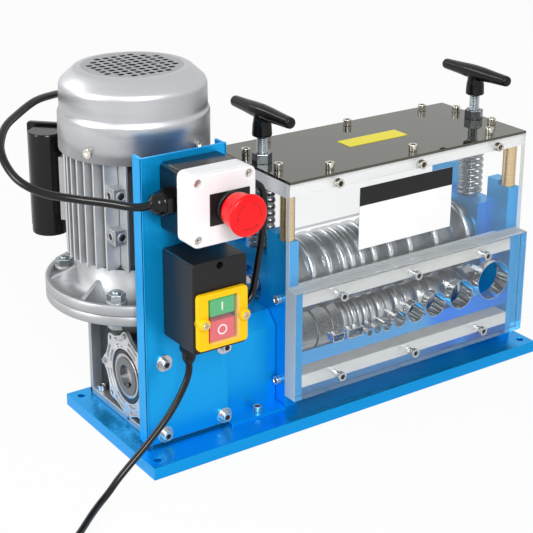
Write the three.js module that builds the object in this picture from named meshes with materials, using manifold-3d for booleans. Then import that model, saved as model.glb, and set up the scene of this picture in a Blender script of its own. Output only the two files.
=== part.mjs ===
// Bench wire stripping machine: a motor and worm gearbox turn the lower feed roller, and cutting
// blades on the upper roller split the insulation of cables pushed through a clear guide panel.
// Millimetres, +Z up. The origin is the centre of the base plate's underside, +X runs along the
// rollers away from the motor, and cables go in from the front, which is -Y.

import * as THREE from 'three';
import { mergeVertices } from 'three/addons/utils/BufferGeometryUtils.js';
import Module from 'manifold-3d';

const wasm = await Module();
wasm.setup();

// Clearances and facets shared by all pieces
const SEAT_GAP = 0.3;
const RUNNING_GAP = 0.05;
const OVERRUN = 5;
const MERGE_TOLERANCE = 1e-4;
const ROUND_SIDES = 20;
const PIN_SIDES = 12;
const SCREW_SIDES = 8;
const ROUND_BODY_SIDES = 24;

// Base plate
const BASE_LENGTH = 528;
const BASE_WIDTH = 194;
const BASE_THICK = 14;
const BASE_HOLE = 8;
const BASE_HOLE_INSET_X = 11.5;
const BASE_HOLE_INSET_Y = 13.5;

// End walls of the stripping head, which slide pieces in a slot open at the top
const HEAD_LEFT = -82.5;
const HEAD_Y = 2;
const WALL_THICK = 16.5;
const WALL_SPAN = 301.5;
const WALL_DEPTH = 134;
const WALL_SEAT_Z = 205;
const WALL_STEP_RISE = 5;
const WALL_STEP_WIDTH = 17;
const SLOT_WIDTH = 63.6;
const SLOT_FLOOR_Z = 96;

// Brass posts, crossbars, guard rails and top plate
const POST_DIAMETER = 16;
const POST_LENGTH = 50;
const POST_INSET = 9.5;
const CROSSBAR_WIDTH = 30;
const CROSSBAR_THICK = 16;
const GUARD_RAIL_WIDTH = 16;
const TOP_PLATE_THICK = 3;
const GUARD_THICK = 6;
const GUARD_FLOOR_Z = 154;

// Clear guide panel and the bars behind it
const PANEL_THICK = 18.7;
const PANEL_FLOOR_Z = 28.5;
const PANEL_HEIGHT = 125.2;
const RAIL_HEIGHT = 15;
const RAIL_DEPTH = 20;
const RAIL_EDGE = 7.5;

// Guide holes of the panel: two flat channels and eight round bores on one floor line
const BORE_FLOOR_Z = 80;
const FIRST_BORE_X = 18.5;
const BORE_SIZES = [7.5, 10, 13.5, 18.5, 24, 29, 34.5, 47];
const BORE_WEBS = [2.8, 1.8, 1.9, 2.1, 2.3, 7.2, 8.2];
const CHANNEL_SIZES = [
  { x: -24.5, floorZ: 85, height: 9, floorWidth: 13.5, topWidth: 17.4 },
  { x: -1.6, floorZ: 84.3, height: 10.7, floorWidth: 21, topWidth: 23.6 },
];

// Rollers
const SHAFT_DIAMETER = 20;
const LOWER_AXIS_Z = 68;
const FEED_DIAMETER = 50;
const NIP_GAP = 1.2;
const BLADE_DIAMETER = 84.6;
const BLADE_WIDTH = 7;
const SPACER_DIAMETER = 77;
const END_DISC_DIAMETER = 58;
const END_DISC_WIDTH = 7;
const FEED_GROOVE = 2.6;
const FEED_GROOVE_WIDTH = 4;
const KNURLED_LANES = 3;
const FEED_EDGE = 1.5;
const KNURL_TEETH = 24;
const KNURL_DEPTH = 1.2;
const HUB_GAP = 0.5;

// Bearings, blocks, springs and pressure screws
const BEARING_DIAMETER = 42;
const BEARING_WIDTH = 12;
const BLOCK_HEIGHT = 78;
const BLOCK_FLOOR_Z = 100;
const BLOCK_WIDTH = 63;
const SPRING_DIAMETER = 30;
const SPRING_WIRE = 4;
const SPRING_TURNS = 8;
const SPRING_END_PITCH = 4.6;
const CURL_STEPS = 8;
const CURL_CHECK_SHARE = 0.7;
const WIRE_SIDES = 5;
const STUD_DIAMETER = 12;
const STUD_GAP = 0.25;
const STUD_DEPTH = 12;
const STUD_REACH = 29.5;
const NUT_ACROSS = 19;
const NUT_HEIGHT = 11;
const HANDLE_LENGTH = 108;
const HANDLE_DIAMETER = 17;
const HANDLE_TIP_DIAMETER = 12.5;
const HANDLE_HUB_DIAMETER = 22;
const HANDLE_HUB_HEIGHT = 19;
const HANDLE_RISE = 26.5;
const HANDLE_END_SHARE = 0.36;
const HANDLE_TAPER_SHARE = 0.46;
const HUB_SHOULDER_SHARE = 0.7;
const HUB_NECK_SHARE = 0.4;
const HUB_TOP_SHARE = 0.36;

// Cap screws of the head
const CAP_HEAD = 10;
const CAP_HEIGHT = 6;
const SCREW_SHANK = 6;
const WASHER_DIAMETER = 18;
const WASHER_THICK = 1.6;
const GUARD_SCREW_SPACING = 114;
const PANEL_SCREW_SPACING = 104;
const GUARD_SCREW_FIRST_X = -21;
const PANEL_SCREW_FIRST_X = -22;
const CROSSBAR_SCREW_SPACING = 62;

// Worm gearbox, motor flange and motor
const GEARBOX_WIDTH = 92;
const GEARBOX_MARGIN = 11;
const GEARBOX_REAR = 84;
const GEARBOX_TOP_Z = 139;
const GEARBOX_CORE_WIDTH = 68;
const GEARBOX_BOSS_DIAMETER = 90;
const GEARBOX_FOOT = 8;
const GEARBOX_RIM = 6;
const FOOT_SCREW_INSET = 17;
const FOOT_SCREW_MARGIN = 6;
const WORM_OFFSET = 50;
const COVER_DIAMETER = 102;
const COVER_VALLEY_DIAMETER = 88;
const COVER_LOBES = 8;
const COVER_THICK = 5;
const POCKET_DEPTH = 2.5;
const POCKET_INNER = 33;
const POCKET_OUTER = 42;
const POCKET_SPREAD_SHARE = 0.75;
const LOBE_HOLE = 6;
const LOBE_BOLT_HEIGHT = 2.5;
const SEAL_DIAMETER = 60;
const SEAL_RECESS = 1.5;
const OUTPUT_HUB_DIAMETER = 42;
const OUTPUT_BORE = 25;
const KEY_WIDTH = 8;
const KEY_DEPTH = 3.3;
const KEY_LENGTH = 23;

const FLANGE_DIAMETER = 198;
const FLANGE_THICK = 11.5;
const FLANGE_GAP = 12.5;
const FLANGE_RIM = 5;
const FLANGE_RIM_RISE = 5;
const FLANGE_BOLT_CIRCLE = 165;
const FLANGE_BOLTS = 4;
const FLANGE_BOSS = 22;
const HEX_BOLT_ACROSS = 17;
const HEX_BOLT_HEIGHT = 7.5;
const GUSSETS = 8;
const GUSSET_THICK = 5;
const GUSSET_HEIGHT = 16;
const GUSSET_TOE = 1;
const MOTOR_FOOT_DIAMETER = 132;
const MOTOR_CORE_DIAMETER = 126;
const MOTOR_FIN_DIAMETER = 150;
const MOTOR_SHOULDER_HEIGHT = 30;
const MOTOR_SHOULDER_SLOPE = 5;
const MOTOR_FIN_HEIGHT = 112;
const MOTOR_RIM_HEIGHT = 12;
const FIN_PITCH = 10.8;
const FIN_THICK = 2.6;
const FINS_EACH_SIDE = 4;
const PAD_OUTER = 57;
const PAD_WIDTH = 17;
const PAD_HEIGHT = 14;
const PAD_HEIGHTS = [227, 271];
const PAD_HOLE = 6;
const MOTOR_SHAFT_DIAMETER = 14;
const MOTOR_SHAFT_FLOOR_Z = 90;

const FAN_COVER_DIAMETER = 158;
const FAN_COVER_WALL = 2;
const FAN_COVER_HEIGHT = 84;
const FAN_COVER_SCREW_ANGLE = THREE.MathUtils.degToRad(25);
const FAN_COVER_SCREW = 8;
const FAN_COVER_SCREW_HEIGHT = 3;
const FAN_COVER_SCREW_RISE = 9;
const FAN_COVER_SCREWS = 4;
const FAN_COVER_SKIRT = 33;
const FAN_COVER_BAND = 14;
const FAN_COVER_SHOULDER = 14;
const FAN_COVER_STEP = 1.7;
const GRILLE_DIAMETER = 113;
const GRILLE_PITCH = 13.6;
const GRILLE_HOLE = 8;
const GRILLE_ROWS = 7;
const FAN_DIAMETER = 118;
const FAN_HUB_DIAMETER = 34;
const FAN_DISC = 3;
const FAN_HEIGHT = 32;
const FAN_BLADES = 6;
const FAN_BLADE_THICK = 3;
const FAN_RISE = 5;
const FAN_TIP_SHARE = 0.75;

// Capacitor box on the motor's side
const CAPACITOR_ANGLE = THREE.MathUtils.degToRad(135);
const CAPACITOR_FLOOR_Z = 197;
const CAPACITOR_HEIGHT = 113;
const CAPACITOR_WIDTH = 39;
const CAPACITOR_DEPTH = 36;
const CAPACITOR_BACK = -24;
const CAPACITOR_LID_WIDTH = 49;
const CAPACITOR_LID_THICK = 7;
const CAPACITOR_LID_LIP = 3;
const CAPACITOR_PAD_REACH = 79.2;
const CAPACITOR_PAD_WIDTH = 30;
const CAPACITOR_PAD_HEIGHT = 70;

// Sheet bracket on the gearbox front, and the cover over the drive end
const SHEET = 3;
const BRACKET_OFFSET = 56;
const BRACKET_WIDTH = 97;
const BRACKET_FLOOR_Z = 17;
const BRACKET_TOP_Z = 327;
const BRACKET_LIP = 15;
const BRACKET_RIGHT_LIP_Z = 150;
const BRACKET_SCREW_SPACING_X = 72;
const BRACKET_SCREW_SPACING_Z = 81;
const BRACKET_SCREW_Z = 26;
const BRACKET_SCREW_INSET = 20;
const DRIVE_COVER_GAP = 0.5;
const DRIVE_COVER_WIDTH = 100;
const DRIVE_COVER_TOP_Z = 120;
const DRIVE_COVER_FOOT = 21;
const DRIVE_COVER_BEND = 14;

// Stop box
const STOP_SIZE = 72;
const STOP_OFFSET = 1;
const STOP_Z = 285.5;
const STOP_BODY_DEPTH = 34;
const STOP_LID_DEPTH = 27;
const STOP_BODY_INSET = 1;
const STOP_CORNER = 8;
const STOP_SCREW_SPACING = 57;
const STOP_SCREW_WELL = 8;
const STOP_SCREW_WELL_DEPTH = 6;
const STOP_AXIS_OFFSET = 6;
const LEGEND_WIDTH = 45;
const LEGEND_HEIGHT = 32;
const LEGEND_THICK = 1;
const LEGEND_CORNER = 1;
const COLLAR_DIAMETER = 32;
const COLLAR_THICK = 4;
const STEM_DIAMETER = 22;
const STEM_DEPTH = 14;
const HEAD_DIAMETER = 42;
const HEAD_SKIRT_DIAMETER = 36;
const HEAD_SKIRT = 18;
const HEAD_RIM = 3.5;
const HEAD_DOME = 2.5;
const HEAD_BEVEL = 1;
const CROWN_WIDTH_SHARE = 0.42;
const CROWN_RISE_SHARE = 0.7;
const STOP_TRAVEL = 5;

// Switch box
const SWITCH_OFFSET = 4;
const SWITCH_WIDTH = 62;
const SWITCH_DEPTH = 57;
const SWITCH_FLOOR_Z = 137;
const SWITCH_HEIGHT = 95;
const SWITCH_CORNER = 4;
const SWITCH_HOLE = 7;
const SWITCH_HOLE_DROP = 6.5;
const FRAME_WIDTH = 57.5;
const FRAME_HEIGHT = 59;
const FRAME_FLOOR_RISE = 5;
const FRAME_THICK = 6;
const FRAME_CORNER = 5;
const FRAME_SHIFT = 0.25;
const WINDOW_WIDTH = 33;
const WINDOW_HEIGHT = 46;
const BUTTON_WIDTH = 29;
const GREEN_HEIGHT = 18.5;
const RED_HEIGHT = 21.5;
const BUTTON_GAP = 0.5;
const BUTTON_SINK = 2;
const BUTTON_LENGTH = 12;
const BUTTON_TRAVEL = 3;
const BUTTON_POCKET_SLACK = 1.5;
const MEMBRANE_THICK = 1;
const MEMBRANE_LIP = 2.5;
const FRAME_SCREW = 5;
const FRAME_SCREW_HEIGHT = 1.5;

// Cables
const MOTOR_LEAD_DIAMETER = 8;
const LINK_LEAD_DIAMETER = 7;
const MAINS_DIAMETER = 7;
const CORD_SIDES = 8;
const CORD_STEP = 3;
const CORD_DIVISIONS = 600;
const COIL_SIDES = 6;
const COIL_LOOP_STEPS = 24;
const GLAND_DIAMETER = 20;
const GLAND_NUT = 9;
const GLAND_LENGTH = 22;
const GLAND_NECK = 15;
const GLAND_SHORT = 12;
const GLAND_SINK = 1;
const GLAND_LIP = 1;
const GLAND_DOME_SHARE = 0.75;
const MOTOR_LEAD_Z = 290;
const LINK_GLAND_Y = -86;
const LINK_GLAND_Z = 162.5;
const MAINS_GLAND_OFFSET = 19;
const MAINS_GLAND_Y = -89;
const CORD_LIFT = 0.3;
const COIL_ENTRY_X = -430;
const COIL_ENTRY_Y = -194;
const COIL_HEADING_SHARES = [-0.755, -0.656];
const COIL_DIAMETER = 112;
const COIL_LOOPS = 2;
const COIL_PITCH = 7.6;
const COIL_CLIMB_START_SHARE = 0.25;
const COIL_CLIMB_SHARE = 0.5;
const COIL_TAIL = 56;
const PLUG_DIAMETER = 30;
const PLUG_LENGTH = 34;
const PLUG_NECK_DIAMETER = 12;
const PLUG_NECK_LENGTH = 18;
const PIN_DIAMETER = 4.8;
const PIN_LENGTH = 19;
const PIN_SPACING = 19;
const PLUG_END_SHARE = 0.7;
const PLUG_THROAT_SHARE = 0.42;
const PLUG_THROAT_REACH_SHARE = 0.3;
const PLUG_TAPER_SHARE = 0.6;

// Places that follow from the sizes above
const BASE_TOP = BASE_THICK;
const HEAD_RIGHT = HEAD_LEFT + 2 * WALL_THICK + WALL_SPAN;
const INNER_LEFT = HEAD_LEFT + WALL_THICK;
const INNER_RIGHT = HEAD_RIGHT - WALL_THICK;
const WALL_FRONT = HEAD_Y - WALL_DEPTH / 2;
const WALL_BACK = HEAD_Y + WALL_DEPTH / 2;
const POST_TOP = WALL_SEAT_Z + POST_LENGTH;
const PLATE_FLOOR = POST_TOP + CROSSBAR_THICK;
const PLATE_TOP = PLATE_FLOOR + TOP_PLATE_THICK;
const GUARD_FRONT = WALL_FRONT - GUARD_THICK;
const GUARD_BACK = WALL_BACK + GUARD_THICK;
const PANEL_FRONT = WALL_FRONT - PANEL_THICK;
const PANEL_TOP = PANEL_FLOOR_Z + PANEL_HEIGHT;
const PANEL_RAIL_TOP = PANEL_TOP - RAIL_EDGE;
const PANEL_RAIL_FLOOR = PANEL_FLOOR_Z + RAIL_EDGE + SEAT_GAP;
const BLOCK_TOP = BLOCK_FLOOR_Z + BLOCK_HEIGHT;
const SPRING_X = [HEAD_LEFT + CROSSBAR_WIDTH / 2, HEAD_RIGHT - CROSSBAR_WIDTH / 2];
const UPPER_AXIS_Z = LOWER_AXIS_Z + (FEED_DIAMETER + BLADE_DIAMETER) / 2 + NIP_GAP;
const WORM_Y = HEAD_Y + WORM_OFFSET;
const GEARBOX_X = HEAD_LEFT - FLANGE_GAP - FLANGE_DIAMETER / 2;
const GEARBOX_FRONT = FLANGE_DIAMETER / 2 - WORM_OFFSET + GEARBOX_MARGIN;
const FLANGE_TOP = GEARBOX_TOP_Z + 2 * FLANGE_THICK;
const MOTOR_FIN_FLOOR = FLANGE_TOP + MOTOR_SHOULDER_HEIGHT;
const MOTOR_FIN_TOP = MOTOR_FIN_FLOOR + MOTOR_FIN_HEIGHT;
const MOTOR_TOP = MOTOR_FIN_TOP + MOTOR_RIM_HEIGHT;
const FAN_COVER_FLOOR = MOTOR_FIN_TOP + SEAT_GAP;
const FAN_COVER_TOP = FAN_COVER_FLOOR + FAN_COVER_HEIGHT;
const GEARBOX_LEFT = GEARBOX_X - GEARBOX_WIDTH / 2;
const GEARBOX_RIGHT = GEARBOX_X + GEARBOX_WIDTH / 2;
const BRACKET_LEFT = GEARBOX_X - BRACKET_OFFSET;
const BRACKET_BACK = HEAD_Y - GEARBOX_FRONT;
const BRACKET_FRONT = BRACKET_BACK - SHEET;
const STOP_X = GEARBOX_X - STOP_OFFSET;
const STOP_LID_BACK = BRACKET_FRONT - STOP_BODY_DEPTH;
const STOP_LID_FRONT = STOP_LID_BACK - STOP_LID_DEPTH;
const SWITCH_X = GEARBOX_X - SWITCH_OFFSET;
const SWITCH_FRONT = BRACKET_FRONT - SWITCH_DEPTH;
const SWITCH_TOP = SWITCH_FLOOR_Z + SWITCH_HEIGHT;
const FRAME_FLOOR = SWITCH_FLOOR_Z + FRAME_FLOOR_RISE;
const FRAME_FRONT = SWITCH_FRONT - FRAME_THICK;
const MAINS_GLAND_X = SWITCH_X - MAINS_GLAND_OFFSET;

// Materials, one per kind of surface in the photograph
const material = (color, roughness, metalness, extra = {}) =>
  new THREE.MeshStandardMaterial({ color, roughness, metalness, ...extra });
const blueMetal = material(0x0088dd, 0.38, 0.6);
const brushedAluminium = material(0xd5d8dc, 0.4, 0.85);
const castAluminium = material(0xbfc4c8, 0.55, 0.7);
const machinedSteel = material(0x9fa1a4, 0.3, 0.95);
const bladeSteel = material(0x85878a, 0.22, 0.95);
const nickel = material(0xd8d4cc, 0.2, 1);
const zinc = material(0xa8b0b2, 0.35, 0.9);
const brass = material(0xe0c890, 0.3, 0.9);
const springSteel = material(0x8c9094, 0.35, 0.9);
const clearPlastic = material(0xeef6f8, 0.05, 0, { transparent: true, opacity: 0.3 });
const glossBlack = material(0x141312, 0.06, 0);
const blackPlastic = material(0x1d1e20, 0.45, 0);
const blackRubber = material(0x151515, 0.6, 0);
const whitePlastic = material(0xebe8eb, 0.45, 0);
const yellowPlastic = material(0xfacd00, 0.4, 0);
const greenPlastic = material(0x00aa5a, 0.4, 0);
const redPlastic = material(0xe1323c, 0.4, 0);
const signalRed = material(0xfa141e, 0.35, 0);

// A closed geometry as a solid for cutting and joining, with its faces turned outwards
function solid(geometry) {
  const bare = geometry.clone();
  bare.deleteAttribute('normal');
  bare.deleteAttribute('uv');
  const merged = mergeVertices(bare, MERGE_TOLERANCE);
  const corners = merged.attributes.position;
  const faces = [];
  let volume = 0;
  const [a, b, c] = [new THREE.Vector3(), new THREE.Vector3(), new THREE.Vector3()];
  for (let i = 0; i < merged.index.count; i += 3) {
    const [p, q, r] = [0, 1, 2].map((k) => merged.index.getX(i + k));
    if (p === q || q === r || r === p) continue;
    faces.push(p, q, r);
    a.fromBufferAttribute(corners, p);
    b.fromBufferAttribute(corners, q);
    c.fromBufferAttribute(corners, r);
    volume += a.dot(b.cross(c));
  }
  if (volume < 0) faces.reverse();
  return new wasm.Manifold(new wasm.Mesh({
    numProp: 3,
    vertProperties: new Float32Array(corners.array),
    triVerts: new Uint32Array(faces),
  }));
}

const evenly = (count, first = 0) =>
  Array.from({ length: count }, (_, k) => first + (2 * Math.PI * k) / count);
const join = (...pieces) => pieces.flat().reduce((whole, piece) => whole.add(piece));
const cut = (body, ...tools) => tools.flat().reduce((rest, tool) => rest.subtract(tool), body);

// A box between two corners
function box(low, high) {
  const size = high.map((value, k) => value - low[k]);
  const geometry = new THREE.BoxGeometry(...size);
  geometry.translate(...low.map((value, k) => value + size[k] / 2));
  return solid(geometry);
}

// Turns a geometry made along +Z, or an outline drawn in X and Y, to stand along another axis
const AXIS_FRAMES = {
  x: [new THREE.Vector3(0, 1, 0), new THREE.Vector3(0, 0, 1), new THREE.Vector3(1, 0, 0)],
  y: [new THREE.Vector3(1, 0, 0), new THREE.Vector3(0, 0, 1), new THREE.Vector3(0, -1, 0)],
  z: [new THREE.Vector3(1, 0, 0), new THREE.Vector3(0, 1, 0), new THREE.Vector3(0, 0, 1)],
};

function stand(geometry, axis, at) {
  geometry.applyMatrix4(new THREE.Matrix4().makeBasis(...AXIS_FRAMES[axis]));
  geometry.translate(...at);
  return solid(geometry);
}

// A turned piece: its profile is [radius, distance along the axis], and along y the axis is -Y
function turned(profile, axis, at, sides = ROUND_SIDES) {
  const points = profile.map(([radius, along]) => new THREE.Vector2(radius, along));
  const geometry = new THREE.LatheGeometry(points, sides);
  geometry.rotateX(Math.PI / 2);
  return stand(geometry, axis, at);
}

const rod = (diameter, length, axis, at, sides = PIN_SIDES) =>
  turned([[0, 0], [diameter / 2, 0], [diameter / 2, length], [0, length]], axis, at, sides);

const ring = (outer, inner, length, axis, at, sides = ROUND_SIDES) =>
  turned([[inner / 2, 0], [outer / 2, 0], [outer / 2, length], [inner / 2, length], [inner / 2, 0]],
    axis, at, sides);

// A bore whose flats stay clear of a round piece turning inside it
const boreFor = (diameter, gap, sides = PIN_SIDES) => (diameter + 2 * gap) / Math.cos(Math.PI / sides);

// An outline pushed along an axis from its place, again towards -Y where the axis is y
function pushed(shape, length, axis, at, curveSegments = 3) {
  const geometry = new THREE.ExtrudeGeometry(shape, {
    depth: length,
    bevelEnabled: false,
    curveSegments,
  });
  return stand(geometry, axis, at);
}

const outline = (points) => new THREE.Shape(points.map(([x, y]) => new THREE.Vector2(x, y)));

// A rectangle with round corners about the outline's origin
function roundedRectangle(width, height, radius) {
  const [x, y] = [width / 2, height / 2];
  const shape = new THREE.Shape();
  shape.moveTo(radius - x, -y);
  shape.lineTo(x - radius, -y);
  shape.absarc(x - radius, radius - y, radius, -Math.PI / 2, 0);
  shape.lineTo(x, y - radius);
  shape.absarc(x - radius, y - radius, radius, 0, Math.PI / 2);
  shape.lineTo(radius - x, y);
  shape.absarc(radius - x, y - radius, radius, Math.PI / 2, Math.PI);
  shape.lineTo(-x, radius - y);
  shape.absarc(radius - x, radius - y, radius, Math.PI, 1.5 * Math.PI);
  return shape;
}

// A six-sided prism by the distance across its flats
const hexagon = (across, length, axis, at) =>
  rod(across / Math.cos(Math.PI / 6), length, axis, at, 6);

const machine = new THREE.Group();

// Adds one named sub-part, kept in its own group's frame
function addPart(name, body, look, group = machine) {
  const { vertProperties, triVerts } = body.getMesh();
  const geometry = new THREE.BufferGeometry();
  geometry.setAttribute('position', new THREE.BufferAttribute(vertProperties, 3));
  geometry.setIndex(new THREE.BufferAttribute(triVerts, 1));
  geometry.computeVertexNormals();
  const mesh = new THREE.Mesh(geometry, look);
  mesh.name = name;
  group.add(mesh);
  return mesh;
}

// Cap screw: its head rests at the place given and points along the axis.
// A reach makes its shank go that far the other way, and a washer lies under its head.
function capScrew(axis, at, { reach = 0, washer = false, backwards = false } = {}) {
  const side = backwards ? -1 : 1;
  const along = AXIS_FRAMES[axis][2].clone().multiplyScalar(side);
  const shift = (distance) => at.map((value, k) => value + along.getComponent(k) * distance);
  const base = washer ? WASHER_THICK : 0;
  const from = (low, high) => shift(backwards ? high : low);
  const head = rod(CAP_HEAD, CAP_HEIGHT, axis, from(base, base + CAP_HEIGHT), SCREW_SIDES);
  return join(head,
    washer ? rod(WASHER_DIAMETER, WASHER_THICK, axis, from(0, WASHER_THICK)) : [],
    reach > 0 ? rod(SCREW_SHANK, reach, axis, from(-reach, 0), SCREW_SIDES / 2) : []);
}

// The hole that such a shank passes or ends in
const shankHole = (axis, at, reach) => {
  const along = AXIS_FRAMES[axis][2];
  const start = at.map((value, k) => value - along.getComponent(k) * (reach + SEAT_GAP));
  return rod(SCREW_SHANK + 2 * SEAT_GAP, reach + SEAT_GAP + OVERRUN, axis, start, SCREW_SIDES / 2);
};

// Base plate
const baseHolesAt = [BASE_LENGTH / 2 - BASE_HOLE_INSET_X, BASE_WIDTH / 2 - BASE_HOLE_INSET_Y];
const baseHoles = [-1, 1].flatMap((x) => [-1, 1].map((y) => rod(BASE_HOLE, BASE_THICK + 2 * OVERRUN, 'z',
  [x * baseHolesAt[0], y * baseHolesAt[1], -OVERRUN], SCREW_SIDES)));
addPart('base_plate', cut(box([-BASE_LENGTH / 2, -BASE_WIDTH / 2, 0],
  [BASE_LENGTH / 2, BASE_WIDTH / 2, BASE_THICK]), baseHoles), blueMetal);

// Screw places on the head
const panelRows = [PANEL_RAIL_FLOOR + RAIL_HEIGHT / 2, PANEL_RAIL_TOP - RAIL_HEIGHT / 2];
const panelReach = PANEL_THICK + RAIL_DEPTH / 2;
const panelScrewsX = [0, 1, 2].map((k) => PANEL_SCREW_FIRST_X + k * PANEL_SCREW_SPACING);
const guardReach = GUARD_THICK + GUARD_RAIL_WIDTH / 2;
const guardRow = POST_TOP + GUARD_RAIL_WIDTH / 2;
const guardScrewsX = [0, 1, 2].map((k) => GUARD_SCREW_FIRST_X + k * GUARD_SCREW_SPACING);
const sideReach = WALL_THICK + RAIL_DEPTH / 2;
const sideScrewY = WALL_FRONT + RAIL_DEPTH / 2;
const panelHoles = panelRows.flatMap((z) => panelScrewsX.map((x) =>
  shankHole('y', [x, PANEL_FRONT, z], panelReach)));
const frontGuardHoles = guardScrewsX.map((x) => shankHole('y', [x, GUARD_FRONT, guardRow], guardReach));
const rearGuardHoles = guardScrewsX.map((x) =>
  rod(SCREW_SHANK + 2 * SEAT_GAP, guardReach + SEAT_GAP + OVERRUN, 'y',
    [x, GUARD_BACK + OVERRUN, guardRow], SCREW_SIDES / 2));

// End walls with the bearing of the lower shaft
function endWall(left) {
  const steps = [WALL_SEAT_Z, WALL_SEAT_Z + WALL_STEP_RISE];
  const half = [WALL_DEPTH / 2, SLOT_WIDTH / 2 + WALL_STEP_WIDTH, SLOT_WIDTH / 2];
  const profile = outline([
    [-half[0], BASE_TOP], [half[0], BASE_TOP], [half[0], steps[0]], [half[1], steps[0]],
    [half[1], steps[1]], [half[2], steps[1]], [half[2], SLOT_FLOOR_Z], [-half[2], SLOT_FLOOR_Z],
    [-half[2], steps[1]], [-half[1], steps[1]], [-half[1], steps[0]], [-half[0], steps[0]],
  ]);
  const bearingSeat = rod(boreFor(BEARING_DIAMETER, RUNNING_GAP, ROUND_SIDES), WALL_THICK + 2 * OVERRUN,
    'x', [left - OVERRUN, HEAD_Y, LOWER_AXIS_Z], ROUND_SIDES);
  const sideHoles = panelRows.map((z) => rod(SCREW_SHANK + 2 * SEAT_GAP, WALL_THICK + 2 * OVERRUN, 'x',
    [left - OVERRUN, sideScrewY, z], SCREW_SIDES / 2));
  return cut(pushed(profile, WALL_THICK, 'x', [left, HEAD_Y, 0]), bearingSeat, sideHoles);
}
addPart('end_wall_left', endWall(HEAD_LEFT), blueMetal);
addPart('end_wall_right', endWall(INNER_RIGHT), blueMetal);

const bearing = (x, z) => ring(BEARING_DIAMETER, boreFor(SHAFT_DIAMETER, RUNNING_GAP, ROUND_SIDES),
  BEARING_WIDTH, 'x', [x - BEARING_WIDTH / 2, HEAD_Y, z]);
const wallMiddles = [HEAD_LEFT + WALL_THICK / 2, HEAD_RIGHT - WALL_THICK / 2];
const sides = ['left', 'right'];
wallMiddles.forEach((x, k) => addPart(`lower_bearing_${sides[k]}`, bearing(x, LOWER_AXIS_Z), machinedSteel));

// Posts on the wall seats
const postRows = [['front', WALL_FRONT + POST_INSET], ['rear', WALL_BACK - POST_INSET]];
wallMiddles.forEach((x, k) => postRows.forEach(([row, y]) => addPart(`brass_post_${row}_${sides[k]}`,
  rod(POST_DIAMETER, POST_LENGTH, 'z', [x, y, WALL_SEAT_Z], ROUND_SIDES), brass)));

// Crossbars, threaded for the pressure screws
function crossbar(centre) {
  const body = box([centre - CROSSBAR_WIDTH / 2, WALL_FRONT, POST_TOP],
    [centre + CROSSBAR_WIDTH / 2, WALL_BACK, PLATE_FLOOR]);
  return cut(body, rod(boreFor(STUD_DIAMETER, STUD_GAP), CROSSBAR_THICK + 2 * OVERRUN, 'z',
    [centre, HEAD_Y, POST_TOP - OVERRUN]));
}
addPart('crossbar_left', crossbar(SPRING_X[0]), brushedAluminium);
addPart('crossbar_right', crossbar(SPRING_X[1]), brushedAluminium);

// Guard rails between the crossbars, each with the screws that hold its guard
const railEnds = [HEAD_LEFT + CROSSBAR_WIDTH, HEAD_RIGHT - CROSSBAR_WIDTH];
const guardRail = (front) => box([railEnds[0], front, POST_TOP],
  [railEnds[1], front + GUARD_RAIL_WIDTH, PLATE_FLOOR]);
addPart('guard_rail_front', join(guardRail(WALL_FRONT), guardScrewsX.map((x) =>
  capScrew('y', [x, GUARD_FRONT, guardRow], { reach: guardReach }))), brushedAluminium);
addPart('guard_rail_rear', join(guardRail(WALL_BACK - GUARD_RAIL_WIDTH), guardScrewsX.map((x) =>
  capScrew('y', [x, GUARD_BACK, guardRow], { reach: guardReach, backwards: true }))), brushedAluminium);

// Top plate with its screws and the lock nuts of the pressure screws
const plateHoles = SPRING_X.map((x) => rod(boreFor(STUD_DIAMETER, STUD_GAP),
  TOP_PLATE_THICK + NUT_HEIGHT + 2 * OVERRUN, 'z', [x, HEAD_Y, PLATE_FLOOR - OVERRUN]));
const railRows = [WALL_FRONT + GUARD_RAIL_WIDTH / 2, WALL_BACK - GUARD_RAIL_WIDTH / 2];
const plate = box([HEAD_LEFT, GUARD_FRONT, PLATE_FLOOR], [HEAD_RIGHT, GUARD_BACK, PLATE_TOP]);
addPart('top_plate', cut(join(plate,
  railRows.flatMap((y) => guardScrewsX.map((x) => capScrew('z', [x, y, PLATE_TOP]))),
  SPRING_X.flatMap((x) => [-1, 1].map((side) =>
    capScrew('z', [x, HEAD_Y + side * CROSSBAR_SCREW_SPACING / 2, PLATE_TOP], { washer: true }))),
  SPRING_X.map((x) => hexagon(NUT_ACROSS, NUT_HEIGHT, 'z', [x, HEAD_Y, PLATE_TOP]))),
plateHoles), glossBlack);

// Clear guards in front and behind
const guard = (front) => box([HEAD_LEFT, front, GUARD_FLOOR_Z],
  [HEAD_RIGHT, front + GUARD_THICK, PLATE_FLOOR]);
addPart('front_guard', cut(guard(GUARD_FRONT), frontGuardHoles), clearPlastic);
addPart('rear_guard', cut(guard(WALL_BACK), rearGuardHoles), clearPlastic);

// Guide panel: each bore's lowest point is on one floor line, so all cables enter at one height
const boreCentres = BORE_SIZES.reduce((centres, size, k) => {
  const previous = centres[k - 1];
  centres.push(k === 0 ? FIRST_BORE_X : previous + BORE_SIZES[k - 1] / 2 + BORE_WEBS[k - 1] + size / 2);
  return centres;
}, []);
const bores = BORE_SIZES.map((size, k) => rod(size, PANEL_THICK + 2 * OVERRUN, 'y',
  [boreCentres[k], WALL_FRONT + OVERRUN, BORE_FLOOR_Z + size / 2], ROUND_SIDES));
const channels = CHANNEL_SIZES.map(({ x, floorZ, height, floorWidth, topWidth }) => pushed(outline([
  [-floorWidth / 2, 0], [floorWidth / 2, 0], [topWidth / 2, height], [-topWidth / 2, height],
]), PANEL_THICK + 2 * OVERRUN, 'y', [x, WALL_FRONT + OVERRUN, floorZ]));
addPart('guide_panel', cut(box([HEAD_LEFT, PANEL_FRONT, PANEL_FLOOR_Z], [HEAD_RIGHT, WALL_FRONT, PANEL_TOP]),
  bores, channels, panelHoles), clearPlastic);

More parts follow.
